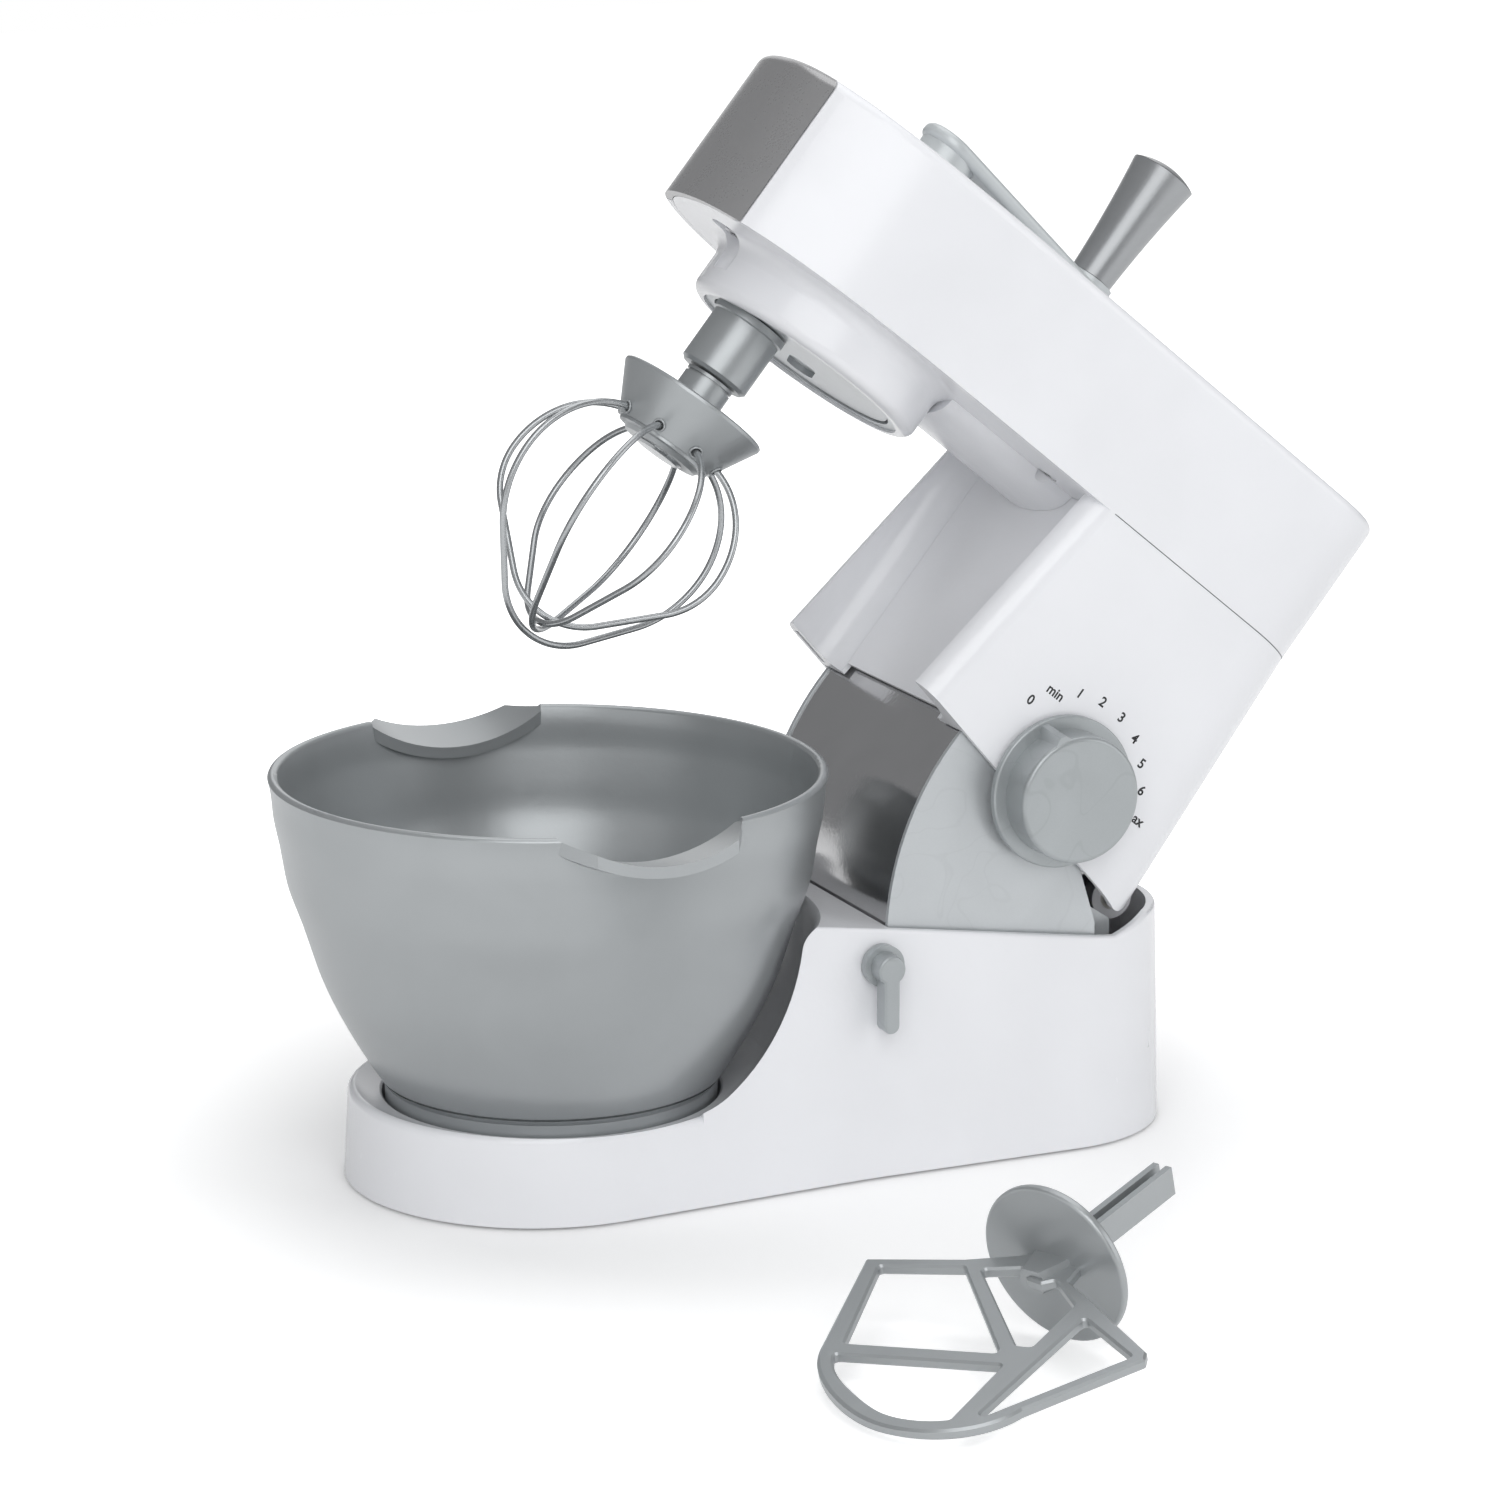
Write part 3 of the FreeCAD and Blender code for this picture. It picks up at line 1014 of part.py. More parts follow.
def latch_hook():
    """Blade on the far end of the shaft, leaning back out of the notch that locks the head."""
    hub = rod_y(3.7, LATCH_Y0, LATCH_Y1, LEVER_X, LEVER_Z)
    blade = box(LATCH_X0, LATCH_X1, LATCH_Y0, LATCH_Y1, LEVER_Z, LATCH_TOP)
    corners = [(LATCH_X1 - 0.5, LATCH_NOSE_Z), (LATCH_NOSE_X, LATCH_NOSE_Z), (LATCH_X1, LATCH_TOP),
               (LATCH_X1 - 0.5, LATCH_TOP)]
    hook = fuse(hub, blade, side_prism(corners, LATCH_Y0, LATCH_Y1))
    hook = hook.cut(rod_y(LEVER_SHAFT_R + 0.02, LATCH_Y0 - 1, LATCH_Y1 + 1, LEVER_X, LEVER_Z))
    hook.rotate(V(LEVER_X, 0, LEVER_Z), V(0, 1, 0), -LATCH_TURN)
    return hook


def spline(points):
    curve = Part.BSplineCurve()
    curve.interpolate(points)
    return curve.toShape()


def spout_plan(inner_r, outer_r):
    """Plan of the far spout: straight flanks that run out to a round lip."""
    def p(r, degrees):
        a = math.radians(degrees)
        return V(BOWL_X + r * math.sin(a), r * math.cos(a), 90)
    wide, turn = SPOUT_WIDE, SPOUT_TURN
    edges = [
        arc(p(outer_r, -turn), p(outer_r, 0), p(outer_r, turn)),
        line(p(outer_r, turn), p(BOWL_RIM_R - 1, wide)),
        line(p(BOWL_RIM_R - 1, wide), p(inner_r, wide)),
        line(p(inner_r, wide), p(inner_r, -wide)),
        line(p(inner_r, -wide), p(BOWL_RIM_R - 1, -wide)),
        line(p(BOWL_RIM_R - 1, -wide), p(outer_r, -turn)),
    ]
    return Part.Face(Part.Wire(edges)).extrude(V(0, 0, 40))


def trough(r):
    """Cylinder along the far spout, tipped so that the lip is higher than the wall."""
    rise = math.radians(SPOUT_RISE)
    start = V(BOWL_X, BOWL_RIM_R - 3.5, SPOUT_Z + SPOUT_TROUGH_R)
    axis = V(0, math.cos(rise), math.sin(rise))
    return Part.makeCylinder(r, 80, start - axis * 30, axis)


def mixing_bowl():
    """Bowl with a foot ring, a groove over the platform and a spout on each side."""
    outer = [V(BOWL_X + r, 0, z) for r, z in BOWL_LINE]
    inner = [V(p.x - BOWL_WALL, 0, p.z) for p in outer[:-1]] + [V(BOWL_X + 41.0, 0, 26.0)]
    inner = list(reversed(inner))
    foot = FOOT_R
    low = [V(BOWL_X + r, 0, z) for r, z in [
        (foot, BOWL_LINE[-1][1] - 0.9), (foot, SEAT_Z + 1.0), (foot - 1.0, SEAT_Z), (foot - 3.2, SEAT_Z),
        (foot - 3.2, SEAT_Z + 3.0), (0, SEAT_Z + 3.0), (0, BOWL_FLOOR), (36.0, BOWL_FLOOR + 0.6)]]
    edges = [spline(outer), line(outer[-1], low[0])]
    for a, b in zip(low, low[1:]):
        edges.append(line(a, b))
    edges.append(arc(low[-1], V(BOWL_X + 39.3, 0, BOWL_FLOOR + 1.9), inner[0]))
    edges.append(spline(inner))
    edges.append(arc(inner[-1], V(BOWL_X + BOWL_RIM_R - BOWL_WALL / 2, 0, BOWL_RIM_Z + 1.0), outer[0]))
    bowl = turned_wire(edges, BOWL_X)
    bowl = bowl.cut(tube(FOOT_R - 0.6, FOOT_R + 5, GROOVE_Z, GROOVE_Z + 0.8, BOWL_X))
    gate = spout_plan(60, 95).common(trough(SPOUT_TROUGH_R))
    lip = spout_plan(BOWL_RIM_R - 3.6, SPOUT_R).common(trough(SPOUT_TROUGH_R + SPOUT_T))
    lip = lip.cut(trough(SPOUT_TROUGH_R))
    lip = lip.common(rod(200, 90, BOWL_RIM_Z + 0.6, BOWL_X))
    return fuse(bowl.cut(gate).cut(mirrored(gate)), lip, mirrored(lip))


def beater_prism(points, t, smooth=()):
    """Plate of the beater's outline; the run of points named in smooth becomes a curve."""
    plan = [V(u, v, -t / 2) for u, v in points]
    edges = []
    i = 0
    while i < len(plan):
        if smooth and i == smooth[0]:
            edges.append(spline(plan[smooth[0]:smooth[1] + 1]))
            i = smooth[1]
        edges.append(line(plan[i], plan[(i + 1) % len(plan)]))
        i += 1
    return Part.Face(Part.Wire(edges)).extrude(V(0, 0, t))


def flat_beater():
    """One moulding: disc, slotted shank behind it and a flat frame with windows."""
    plate = beater_prism(BEATER_OUTLINE, BEATER_T, BEATER_CURVE)
    for window, curve in BEATER_WINDOWS:
        hole = beater_prism(window, BEATER_T + 2, curve)
        uprights = [edge for edge in hole.Edges if edge.BoundBox.ZLength > 1]
        plate = plate.cut(hole.makeFillet(1.0, uprights))
    rims = [edge for edge in plate.Edges if edge.BoundBox.ZLength < 1e-6]
    plate = plate.makeChamfer(0.6, rims)
    disc = Part.makeCylinder(BEATER_DISC_R, DISC_T, V(-DISC_T / 2, 0, 0), V(1, 0, 0))
    disc = disc.makeFillet(0.9, [edge for edge in disc.Edges if edge.BoundBox.XLength < 1e-6])
    shank = box(-SHANK_LONG, 0, -3, 3, -4, 4)
    shank = shank.cut(box(-SHANK_LONG - 1, -8, -1.1, 1.1, -5, 5))
    hub = Part.makeCone(6.5, 4.0, 10, V(0, 0, 0), V(1, 0, 0)).common(box(0, 20, -8, 8, -3.2, 3.2))
    beater = fuse(plate, disc, shank, hub)
    tilt = math.atan((BEATER_DISC_R - BEATER_T / 2) / BEATER_END)
    beater.rotate(V(0, 0, 0), V(0, 1, 0), math.degrees(tilt))
    beater.rotate(V(0, 0, 0), V(0, 0, 1), 180 + BEATER_HEADING)
    beater.translate(V(BEATER_X, BEATER_Y, -beater.BoundBox.ZMin))
    return beater


def build():
    os.makedirs("parts", exist_ok=True)
    add("base_housing", base_housing())
    add("base_plate", base_plate())
    add("rubber_feet", rubber_feet())
    add("base_plate_screws", under_screws(PLATE_SCREWS, 9.0))
    add("drum_screws", under_screws(DRUM_SCREWS, 8.0))
    add("drum_housing", drum_housing())
    add("drum_front", drum_front())
    add("hinge_bracket_near", mirrored(hinge_bracket()))
    add("hinge_bracket_far", hinge_bracket())
    add("hinge_rod", hinge_rod())
    add("lever_bush", lever_bush())
    add("lift_lever", lift_lever())
    add("lever_shaft", lever_shaft())
    add("lever_clip", lever_clip())
    add("latch_hook", latch_hook())
    add("mixing_bowl", mixing_bowl())
    add("flat_beater", flat_beater())
    head = {
        "hinge_bush_near": mirrored(hinge_bush()),
        "hinge_bush_far": hinge_bush(),
        "pillar_shell": pillar_shell(),
        "pillar_front_panel": pillar_front_panel(),
        "pillar_screws": Part.makeCompound([screw(*place, PLATE_H, 10.0, False) for place in PILLAR_SCREWS]),
        "head_cover": head_cover(),
        "nose_cap": nose_cap(),
        "head_base": head_base(),
        "head_screws": Part.makeCompound([screw(*place, PART_Z + 1.9, 14.0) for place in HEAD_SCREWS]),
        "trim_ring": tube(29.6, CHIN_BORE - 0.05, CARRIER_Z - 0.5, GEAR_Z - 0.05, DRIVE_X),
        "ring_gear": ring_gear(),
        "shaft_bush_low": flanged_bush(SHAFT_R + RUN, 6.55, POCKET_TOP - 1.2, PLATE_H + 4.4,
                                       9.0, POCKET_TOP - 1.2, POCKET_TOP - 0.05, DRIVE_X),
        "shaft_bush_top": flanged_bush(SHAFT_R + RUN, 7.95, 188.0, HEAD_TOP - 0.2, 10.5,
                                       188.0, 190.0, DRIVE_X),
        "crank_shaft": crank_shaft(),
        "crank_arm": crank_arm(),
        "crank_screw": screw(DRIVE_X, 0, SHAFT_TOP + 1.62, 9.0, False),
        "crank_cap": rod(5.4, SHAFT_TOP + 3.4, CRANK_TOP + 0.3, DRIVE_X),
        "carrier_plate": carrier_plate(),
        "planet_bush": tube(SPINDLE_R + RUN, 5.95, CARRIER_Z - 0.1, CARRIER_Z + 5.2, WHISK_X),
        "knob_pin": knob_pin(),
        "crank_knob": crank_knob(),
        "knob_cap": knob_cap(),
        "knob_clip": clip(1.52, 4.2, KNOB_CELL + 1.05, KNOB_CELL + 1.75, KNOB_X),
        "planet_gear": planet_gear(),
        "whisk_socket": whisk_socket(),
        "spindle_clip": clip(SPINDLE_R - 0.48, 5.6, GEAR_Z + GEAR_H + 0.15, GEAR_Z + GEAR_H + 0.85, WHISK_X),
        "whisk_shank": whisk_shank(),
        "whisk_cone": whisk_cone(),
        "whisk_disc": whisk_disc(),
        "whisk_plug": whisk_plug(),
        "speed_dial": speed_dial(),
        "dial_washer": dial_washer(),
        "dial_screw": dial_screw(),
        "dial_click_spring": dial_click_spring(),
    }
    for loop in range(LOOPS):
        head["whisk_wire_%d" % (loop + 1)] = wire_loop(loop, WIRE_R)
    for name, shape in head.items():
        add(name, raised(shape))
    for name, shape in PARTS.items():
        print(name, len(shape.Solids), round(shape.Volume, 1), shape.isValid())
        shape.exportStep("parts/%s.step" % name)


build()
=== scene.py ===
# %% [markdown]
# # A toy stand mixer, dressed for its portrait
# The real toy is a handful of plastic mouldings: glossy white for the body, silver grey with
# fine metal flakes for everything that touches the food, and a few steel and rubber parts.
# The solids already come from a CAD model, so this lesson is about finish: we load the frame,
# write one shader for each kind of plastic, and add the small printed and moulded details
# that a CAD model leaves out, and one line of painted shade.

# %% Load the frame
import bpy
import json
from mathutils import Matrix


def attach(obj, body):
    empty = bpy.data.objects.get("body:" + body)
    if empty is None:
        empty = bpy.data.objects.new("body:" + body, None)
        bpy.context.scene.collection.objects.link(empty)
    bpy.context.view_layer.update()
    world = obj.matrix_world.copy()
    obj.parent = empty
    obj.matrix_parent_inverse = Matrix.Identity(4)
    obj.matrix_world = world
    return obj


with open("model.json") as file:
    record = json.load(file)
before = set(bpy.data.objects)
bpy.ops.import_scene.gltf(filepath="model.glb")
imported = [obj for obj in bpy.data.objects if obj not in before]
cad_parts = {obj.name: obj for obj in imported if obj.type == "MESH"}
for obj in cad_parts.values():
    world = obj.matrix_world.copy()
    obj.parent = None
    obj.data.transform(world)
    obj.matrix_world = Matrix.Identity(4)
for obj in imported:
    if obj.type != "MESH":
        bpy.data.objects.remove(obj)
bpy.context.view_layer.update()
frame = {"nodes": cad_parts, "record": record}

import bpy
import bmesh
import json
import math
from mathutils import Matrix, Vector

nodes = frame["nodes"]

# %% [markdown]
# Lengths on a toy are easiest to read in millimetres, but Blender's unit here is the metre.
# One small constant keeps both readable. The head is raised at rest, so anything that belongs
# to it is drawn for the closed head and then turned about the hinge, as the real one is.

# %% Units and the raised head
MM = 0.001
HINGE = Vector((102.0, 0.0, 66.5)) * MM
TILT = math.radians(39.17)


def raised():
    """Matrix that takes a place on the closed head to its place at rest."""
    return Matrix.Translation(HINGE) @ Matrix.Rotation(TILT, 4, "Y") @ Matrix.Translation(-HINGE)


print("hinge at", tuple(HINGE))

# %% [markdown]
# A shader is arithmetic on sockets. Wiring Math nodes by hand hides that, so one small class
# wraps a socket and lets Python's own operators build the nodes: `1 - mask * 0.2` reads as it
# would on paper. Every other node comes from a single method of the material's builder.


# %% Shader arithmetic
class Term:
    """A socket that can be used in a Python expression."""

    def __init__(self, graph, socket):
        self.graph = graph
        self.socket = socket

    def math(self, operation, *values):
        return self.graph.node("ShaderNodeMath", {"operation": operation}, dict(enumerate(values)))

    def __add__(self, other):
        return self.math("ADD", self, other)

    def __radd__(self, other):
        return self.math("ADD", other, self)

    def __sub__(self, other):
        return self.math("SUBTRACT", self, other)

    def __rsub__(self, other):
        return self.math("SUBTRACT", other, self)

    def __mul__(self, other):
        return self.math("MULTIPLY", self, other)

    def __rmul__(self, other):
        return self.math("MULTIPLY", other, self)

    def between(self, low, high):
        """0 below low, 1 above high, smooth in between."""
        return self.graph.node("ShaderNodeMapRange", {"interpolation_type": "SMOOTHSTEP"},
                                {0: self, 1: low, 2: high, 3: 0.0, 4: 1.0})

    def ramp(self, low, high, first, last):
        """Straight line from first at low to last at high, level outside."""
        return self.graph.node("ShaderNodeMapRange", {}, {0: self, 1: low, 2: high, 3: first, 4: last})


class Graph:
    """A node tree under construction, for a shader or for geometry."""

    def node(self, kind, settings, inputs, output=0):
        made = self.tree.nodes.new(kind)
        for name, value in settings.items():
            setattr(made, name, value)
        for key, value in inputs.items():
            if isinstance(value, Term):
                self.tree.links.new(value.socket, made.inputs[key])
            else:
                made.inputs[key].default_value = value
        return Term(self, made.outputs[output])


class Finish(Graph):
    """A material under construction: one Principled shader and what feeds it."""

    def __init__(self, name, **steady):
        self.material = bpy.data.materials.new(name)
        self.material.use_nodes = True
        self.tree = self.material.node_tree
        self.shader = self.tree.nodes["Principled BSDF"]
        for socket, value in steady.items():
            self.shader.inputs[socket.replace("_", " ")].default_value = value
        self.place = self.node("ShaderNodeTexCoord", {}, {}, "Object")

    def noise(self, size, detail=2.0, rough=0.5, stretch=(1.0, 1.0, 1.0), warp=0.0):
        """Soft noise whose features are about size metres across."""
        place = self.node("ShaderNodeMapping", {}, {"Vector": self.place, "Scale": stretch})
        return self.node("ShaderNodeTexNoise", {}, {
            "Vector": place, "Scale": 1.0 / size, "Detail": detail, "Roughness": rough, "Distortion": warp})

    def tint(self, mask, first, second):
        """Colour that goes from first to second as the mask goes from 0 to 1."""
        return self.node("ShaderNodeMix", {"data_type": "RGBA"}, {
            0: mask, 6: (*first, 1.0), 7: (*second, 1.0)}, 2)

    def feed(self, **terms):
        for socket, term in terms.items():
            self.tree.links.new(term.socket, self.shader.inputs[socket.replace("_", " ")])

    def bump(self, height, depth):
        """Relief of the given depth in metres, from a height that runs from 0 to 1."""
        relief = self.node("ShaderNodeBump", {}, {"Height": height, "Distance": depth, "Strength": 1.0})
        self.feed(Normal=relief)


# %% [markdown]
# White ABS comes out of a polished mould, so it is glossy, yet never a perfect mirror: the
# surface has a very faint orange-peel, its gloss drifts where the melt cooled slower, and
# handling leaves hair-thin scuffs. The colour hardly moves. All of this is far below a
# millimetre, so it goes in the bump and the roughness and not in the mesh.


# %% White moulding
def scuffs(finish, size, amount):
    """Sparse hair-thin marks, longer than they are wide."""
    fine = finish.noise(size, 3.0, 0.6, (1.0, 7.0, 1.0), 0.4)
    return fine.between(0.62, 0.80) * amount


def white_moulding(name, colour, gloss):
    finish = Finish(name, IOR=1.5)
    drift = finish.noise(0.045, 2.0)
    peel = finish.noise(0.0016, 2.0)
    worn = scuffs(finish, 0.009, 0.10)
    darker = tuple(c * 0.965 for c in colour)
    finish.feed(Base_Color=finish.tint(drift.between(0.35, 0.75), colour, darker),
                Roughness=gloss + drift * 0.06 + worn)
    finish.bump(peel * 0.7 + drift * 0.3, 0.00004)
    return finish.material


WHITE = (0.86, 0.868, 0.895)
white_body = white_moulding("white_moulding", WHITE, 0.16)
print("finish", white_body.name)

# %% [markdown]
# The silver parts are grey plastic with metal flakes. Where the melt meets itself behind a
# hole or a boss, the flakes turn and leave cloudy flow marks, which show best on the flat
# dial and the drum. So the recipe is: a grey base that is partly metallic, a very fine
# sparkle from a cell pattern, slow warped noise for the clouds, and thin dark veins where
# that noise crosses its middle. Each kind of silver differs only in a handful of numbers.


# %% Silver moulding
def silver_moulding(name, colour, gloss, flow=0.03, metal=0.50, vein=0.0):
    finish = Finish(name, IOR=1.5)
    clouds = finish.noise(0.030, 2.0, 0.5, (1.0, 1.0, 1.0), 0.7).between(0.25, 0.78)
    flakes = finish.node("ShaderNodeTexVoronoi", {}, {"Vector": finish.place, "Scale": 2600.0}, "Color")
    sparkle = finish.node("ShaderNodeSeparateColor", {}, {0: flakes})
    ridge = finish.noise(0.022, 1.0, 0.5, (1.0, 1.0, 1.0), 1.2) - 0.5
    seams = 1.0 - ridge.math("ABSOLUTE", ridge).between(0.0, 0.022)
    darker = tuple(c * (1.0 - flow) for c in colour)
    lighter = tuple(min(1.0, c * (1.0 + flow)) for c in colour)
    peel = finish.noise(0.0014, 2.0)
    finish.feed(Base_Color=finish.tint(clouds * 0.8 + sparkle * 0.2 - seams * vein, darker, lighter),
                Metallic=metal + sparkle * 0.05,
                Roughness=gloss + clouds * 0.04 + sparkle * 0.03 + scuffs(finish, 0.007, 0.02))
    finish.bump(peel, 0.00002)
    return finish.material


SILVER = (0.400, 0.420, 0.430)
silver = silver_moulding("silver_moulding", SILVER, 0.30)
silver_pale = silver_moulding("pale_silver_moulding", (0.54, 0.565, 0.58), 0.28, 0.05, 0.30, 0.4)
silver_dial = silver_moulding("dial_silver_moulding", (0.39, 0.415, 0.425), 0.28, 0.07, 0.40, 0.5)
nose_silver = silver_moulding("nose_silver_moulding", (0.36, 0.36, 0.365), 0.26, 0.02)
drum_satin = silver_moulding("drum_satin", (0.58, 0.58, 0.585), 0.10, 0.05, 0.95)
whisk_silver = silver_moulding("whisk_silver_moulding", (0.42, 0.435, 0.445), 0.22, 0.03, 0.75)
arm_silver = silver_moulding("arm_silver_moulding", (0.55, 0.58, 0.59), 0.30, 0.02, 0.15)
knob_silver = silver_moulding("knob_silver_moulding", (0.34, 0.35, 0.36), 0.28, 0.03, 0.60)
print("silver finishes", silver.name, silver_pale.name, nose_silver.name, drum_satin.name, arm_silver.name)

# %% [markdown]
# The rest is quick: turned and stamped steel with lines left by the tool, dull bearing
# plastic, dark plastic inside, and rubber for the feet. Each keeps the one thing that tells
# the eye what it is: fine lines on steel, soft speckle on rubber.


# %% Steel, bearing plastic, dark plastic and rubber
def tooled_steel(name):
    finish = Finish(name, Metallic=1.0)
    lines = finish.noise(0.0006, 2.0, 0.5, (1.0, 0.08, 1.0))
    stain = finish.noise(0.006, 2.0)
    finish.feed(Base_Color=finish.tint(stain, (0.60, 0.60, 0.61), (0.50, 0.50, 0.515)),
                Roughness=0.24 + lines * 0.18)
    finish.bump(lines, 0.00002)
    return finish.material


def plain_plastic(name, colour, rough, grain):
    finish = Finish(name)
    speckle = finish.noise(grain, 3.0, 0.6)
    darker = tuple(c * 0.8 for c in colour)
    finish.feed(Base_Color=finish.tint(speckle, colour, darker), Roughness=rough + speckle * 0.12)
    finish.bump(speckle, 0.00005)
    return finish.material


steel = tooled_steel("tooled_steel")
bearing = plain_plastic("bearing_plastic", (0.74, 0.73, 0.68), 0.42, 0.003)
dark = plain_plastic("dark_plastic_and_gap_shade", (0.10, 0.105, 0.11), 0.45, 0.002)
rubber = plain_plastic("foot_rubber", (0.035, 0.035, 0.035), 0.70, 0.0012)
print("plain finishes", steel.name, bearing.name, dark.name, rubber.name)

# %% [markdown]
# Now each CAD piece gets its finish. The record already sorts the pieces into slots, so one
# table from slot to material dresses them all, and a few pieces that differ from the rest of
# their slot are named on their own.

# %% Dress the CAD pieces
FINISH_OF_SLOT = {
    "white": white_body, "nose_grey": nose_silver, "light_grey": silver_pale, "dark_grey": dark,
    "silver_grey": silver, "pale_arm": arm_silver, "bush": bearing, "rubber": rubber,
    "steel": steel, "wire": whisk_silver,
}
FINISH_OF_NODE = {
    "drum_front": drum_satin, "speed_dial": silver_dial, "lift_lever": silver_dial,
    "crank_knob": knob_silver, "knob_cap": knob_silver,
}
for part in frame["record"]["subparts"]:
    piece = nodes[part["node"]]
    finish = FINISH_OF_NODE.get(part["node"], FINISH_OF_SLOT[part["material_slot"]])
    for index in range(len(piece.material_slots)):
        piece.material_slots[index].link = "OBJECT"
        piece.material_slots[index].material = finish
    if not piece.material_slots:
        piece.data.materials.append(finish)

# %% [markdown]
# The speed marks round the dial are printed on the cheek. Blender's own font is a fair match
# for the plain sans of the toy. Each mark becomes a flat mesh that floats a hundredth of a
# millimetre off the plastic, upright for the closed head, so it tips with the head when that
# goes back. A text object starts in the XY plane facing up; it has to face the near side, -Y.

# %% Printed speed marks
DIAL = Vector((52.1, -47.7, 78.7)) * MM
MARKS = ["0", "min", "1", "2", "3", "4", "5", "6", "max"]
FIRST_MARK, MARK_STEP = math.radians(-56.5), math.radians(16.4)
MARK_RADIUS, MARK_HEIGHT, MARK_LIFT, MARK_BOLD = 27.6 * MM, 4.0 * MM, 0.012 * MM, 0.10 * MM

ink = plain_plastic("mark_ink", (0.014, 0.015, 0.017), 0.50, 0.0008)
facing = Matrix.Rotation(math.radians(90), 4, "X")
marks = bmesh.new()
for count, word in enumerate(MARKS):
    letters = bpy.data.curves.new("mark", "FONT")
    letters.body = word
    letters.size = MARK_HEIGHT
    letters.offset = MARK_BOLD
    letters.align_x = "CENTER"
    letters.align_y = "CENTER"
    holder = bpy.data.objects.new("mark", letters)
    flat = bpy.data.meshes.new_from_object(holder)
    angle = FIRST_MARK + MARK_STEP * count
    spot = DIAL + Vector((math.sin(angle) * MARK_RADIUS, -MARK_LIFT, math.cos(angle) * MARK_RADIUS))
    flat.transform(raised() @ Matrix.Translation(spot) @ facing)
    marks.from_mesh(flat)
    bpy.data.meshes.remove(flat)
    bpy.data.objects.remove(holder)
    bpy.data.curves.remove(letters)
mark_mesh = bpy.data.meshes.new("speed_marks")
marks.to_mesh(mark_mesh)
marks.free()
mark_mesh.materials.append(ink)
speed_marks = bpy.data.objects.new("speed_marks", mark_mesh)
bpy.context.scene.collection.objects.link(speed_marks)
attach(speed_marks, "head")
print("marks", len(MARKS), "faces", len(mark_mesh.polygons))

# %% [markdown]
# Two details repeat or follow a path, so they are recipes of Geometry Nodes with named inputs
# instead of lists of vertices. The first is the collar that the moulding forms round each of
# the eight wires where it enters the cone. The second is painted shade: a dark hairline all the
# way round the rear of the head, where the gap between cover and pillar lies in shadow, made as a flat dark
# bead swept along a path.
# A recipe runs once, and its result is kept as a plain mesh that rides on its body.


# %% Recipes for geometry
class Recipe(Graph):
    """A Geometry Nodes tree with named inputs."""

    def __init__(self, name, **inputs):
        self.tree = bpy.data.node_groups.new(name, "GeometryNodeTree")
        self.sockets = {}
        for label, value in inputs.items():
            kind = "NodeSocketInt" if isinstance(value, int) else "NodeSocketFloat"
            socket = self.tree.interface.new_socket(label, in_out="INPUT", socket_type=kind)
            self.sockets[socket.identifier] = value
        self.tree.interface.new_socket("Mesh", in_out="OUTPUT", socket_type="NodeSocketGeometry")
        self.given = self.tree.nodes.new("NodeGroupInput")

    def input(self, label):
        return Term(self, self.given.outputs[label])

    def vector(self, x, y, z):
        return self.node("ShaderNodeCombineXYZ", {}, {0: x, 1: y, 2: z})

    def finish(self, geometry, material):
        """Close the tree: real geometry, smooth shading and its material."""
        real = self.node("GeometryNodeRealizeInstances", {}, {"Geometry": geometry})
        smooth = self.node("GeometryNodeSetShadeSmooth", {}, {"Geometry": real, "Shade Smooth": True})
        painted = self.node("GeometryNodeSetMaterial", {}, {"Geometry": smooth, "Material": material})
        out = self.tree.nodes.new("NodeGroupOutput")
        self.tree.links.new(painted.socket, out.inputs[0])

    def run(self, name, place, body, slot):
        """Evaluate once, keep the mesh at its place on a body."""
        holder = bpy.data.objects.new(name, bpy.data.meshes.new(name + "_start"))
        bpy.context.scene.collection.objects.link(holder)
        modifier = holder.modifiers.new(name, "NODES")
        modifier.node_group = self.tree
        for identifier, value in self.sockets.items():
            modifier[identifier] = value
        view = bpy.context.evaluated_depsgraph_get()
        mesh = bpy.data.meshes.new_from_object(holder.evaluated_get(view))
        holder.modifiers.clear()
        holder.data = mesh
        mesh.transform(place)
        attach(holder, body)
        print(name, "faces", len(mesh.polygons))


# %% Collars round the wires
WIRE_ENDS = 8
collars = Recipe("wire_collars", Count=WIRE_ENDS, Reach=16.55 * MM, Height=93.8 * MM, Turn=math.radians(5.5),
                 Lean=math.radians(29), Eye=1.65 * MM, Bead=0.32 * MM)
step = collars.node("GeometryNodeInputIndex", {}, {})
angle = step * (2 * math.pi / WIRE_ENDS) + collars.input("Turn")
spots = collars.node("GeometryNodePoints", {}, {
    "Count": collars.input("Count"),
    "Position": collars.vector(angle.math("COSINE", angle) * collars.input("Reach"),
                               angle.math("SINE", angle) * collars.input("Reach"), collars.input("Height"))})
eye = collars.node("GeometryNodeCurvePrimitiveCircle", {}, {"Resolution": 28, "Radius": collars.input("Eye")})
bead = collars.node("GeometryNodeCurvePrimitiveCircle", {}, {
    "Resolution": 12, "Radius": collars.input("Bead")})
ring = collars.node("GeometryNodeCurveToMesh", {}, {"Curve": eye, "Profile Curve": bead})
tipped = collars.vector(0.0, math.pi / 2 + collars.input("Lean"), angle)
rings = collars.node("GeometryNodeInstanceOnPoints", {}, {
    "Points": spots, "Instance": ring, "Rotation": tipped})
collars.finish(rings, silver)
WHISK_X = -85.9
WHISK_AXIS = Matrix.Translation(Vector((WHISK_X, 0.0, 0.0)) * MM)
collars.run("wire_collars", raised() @ WHISK_AXIS, "whisk", "silver_grey")
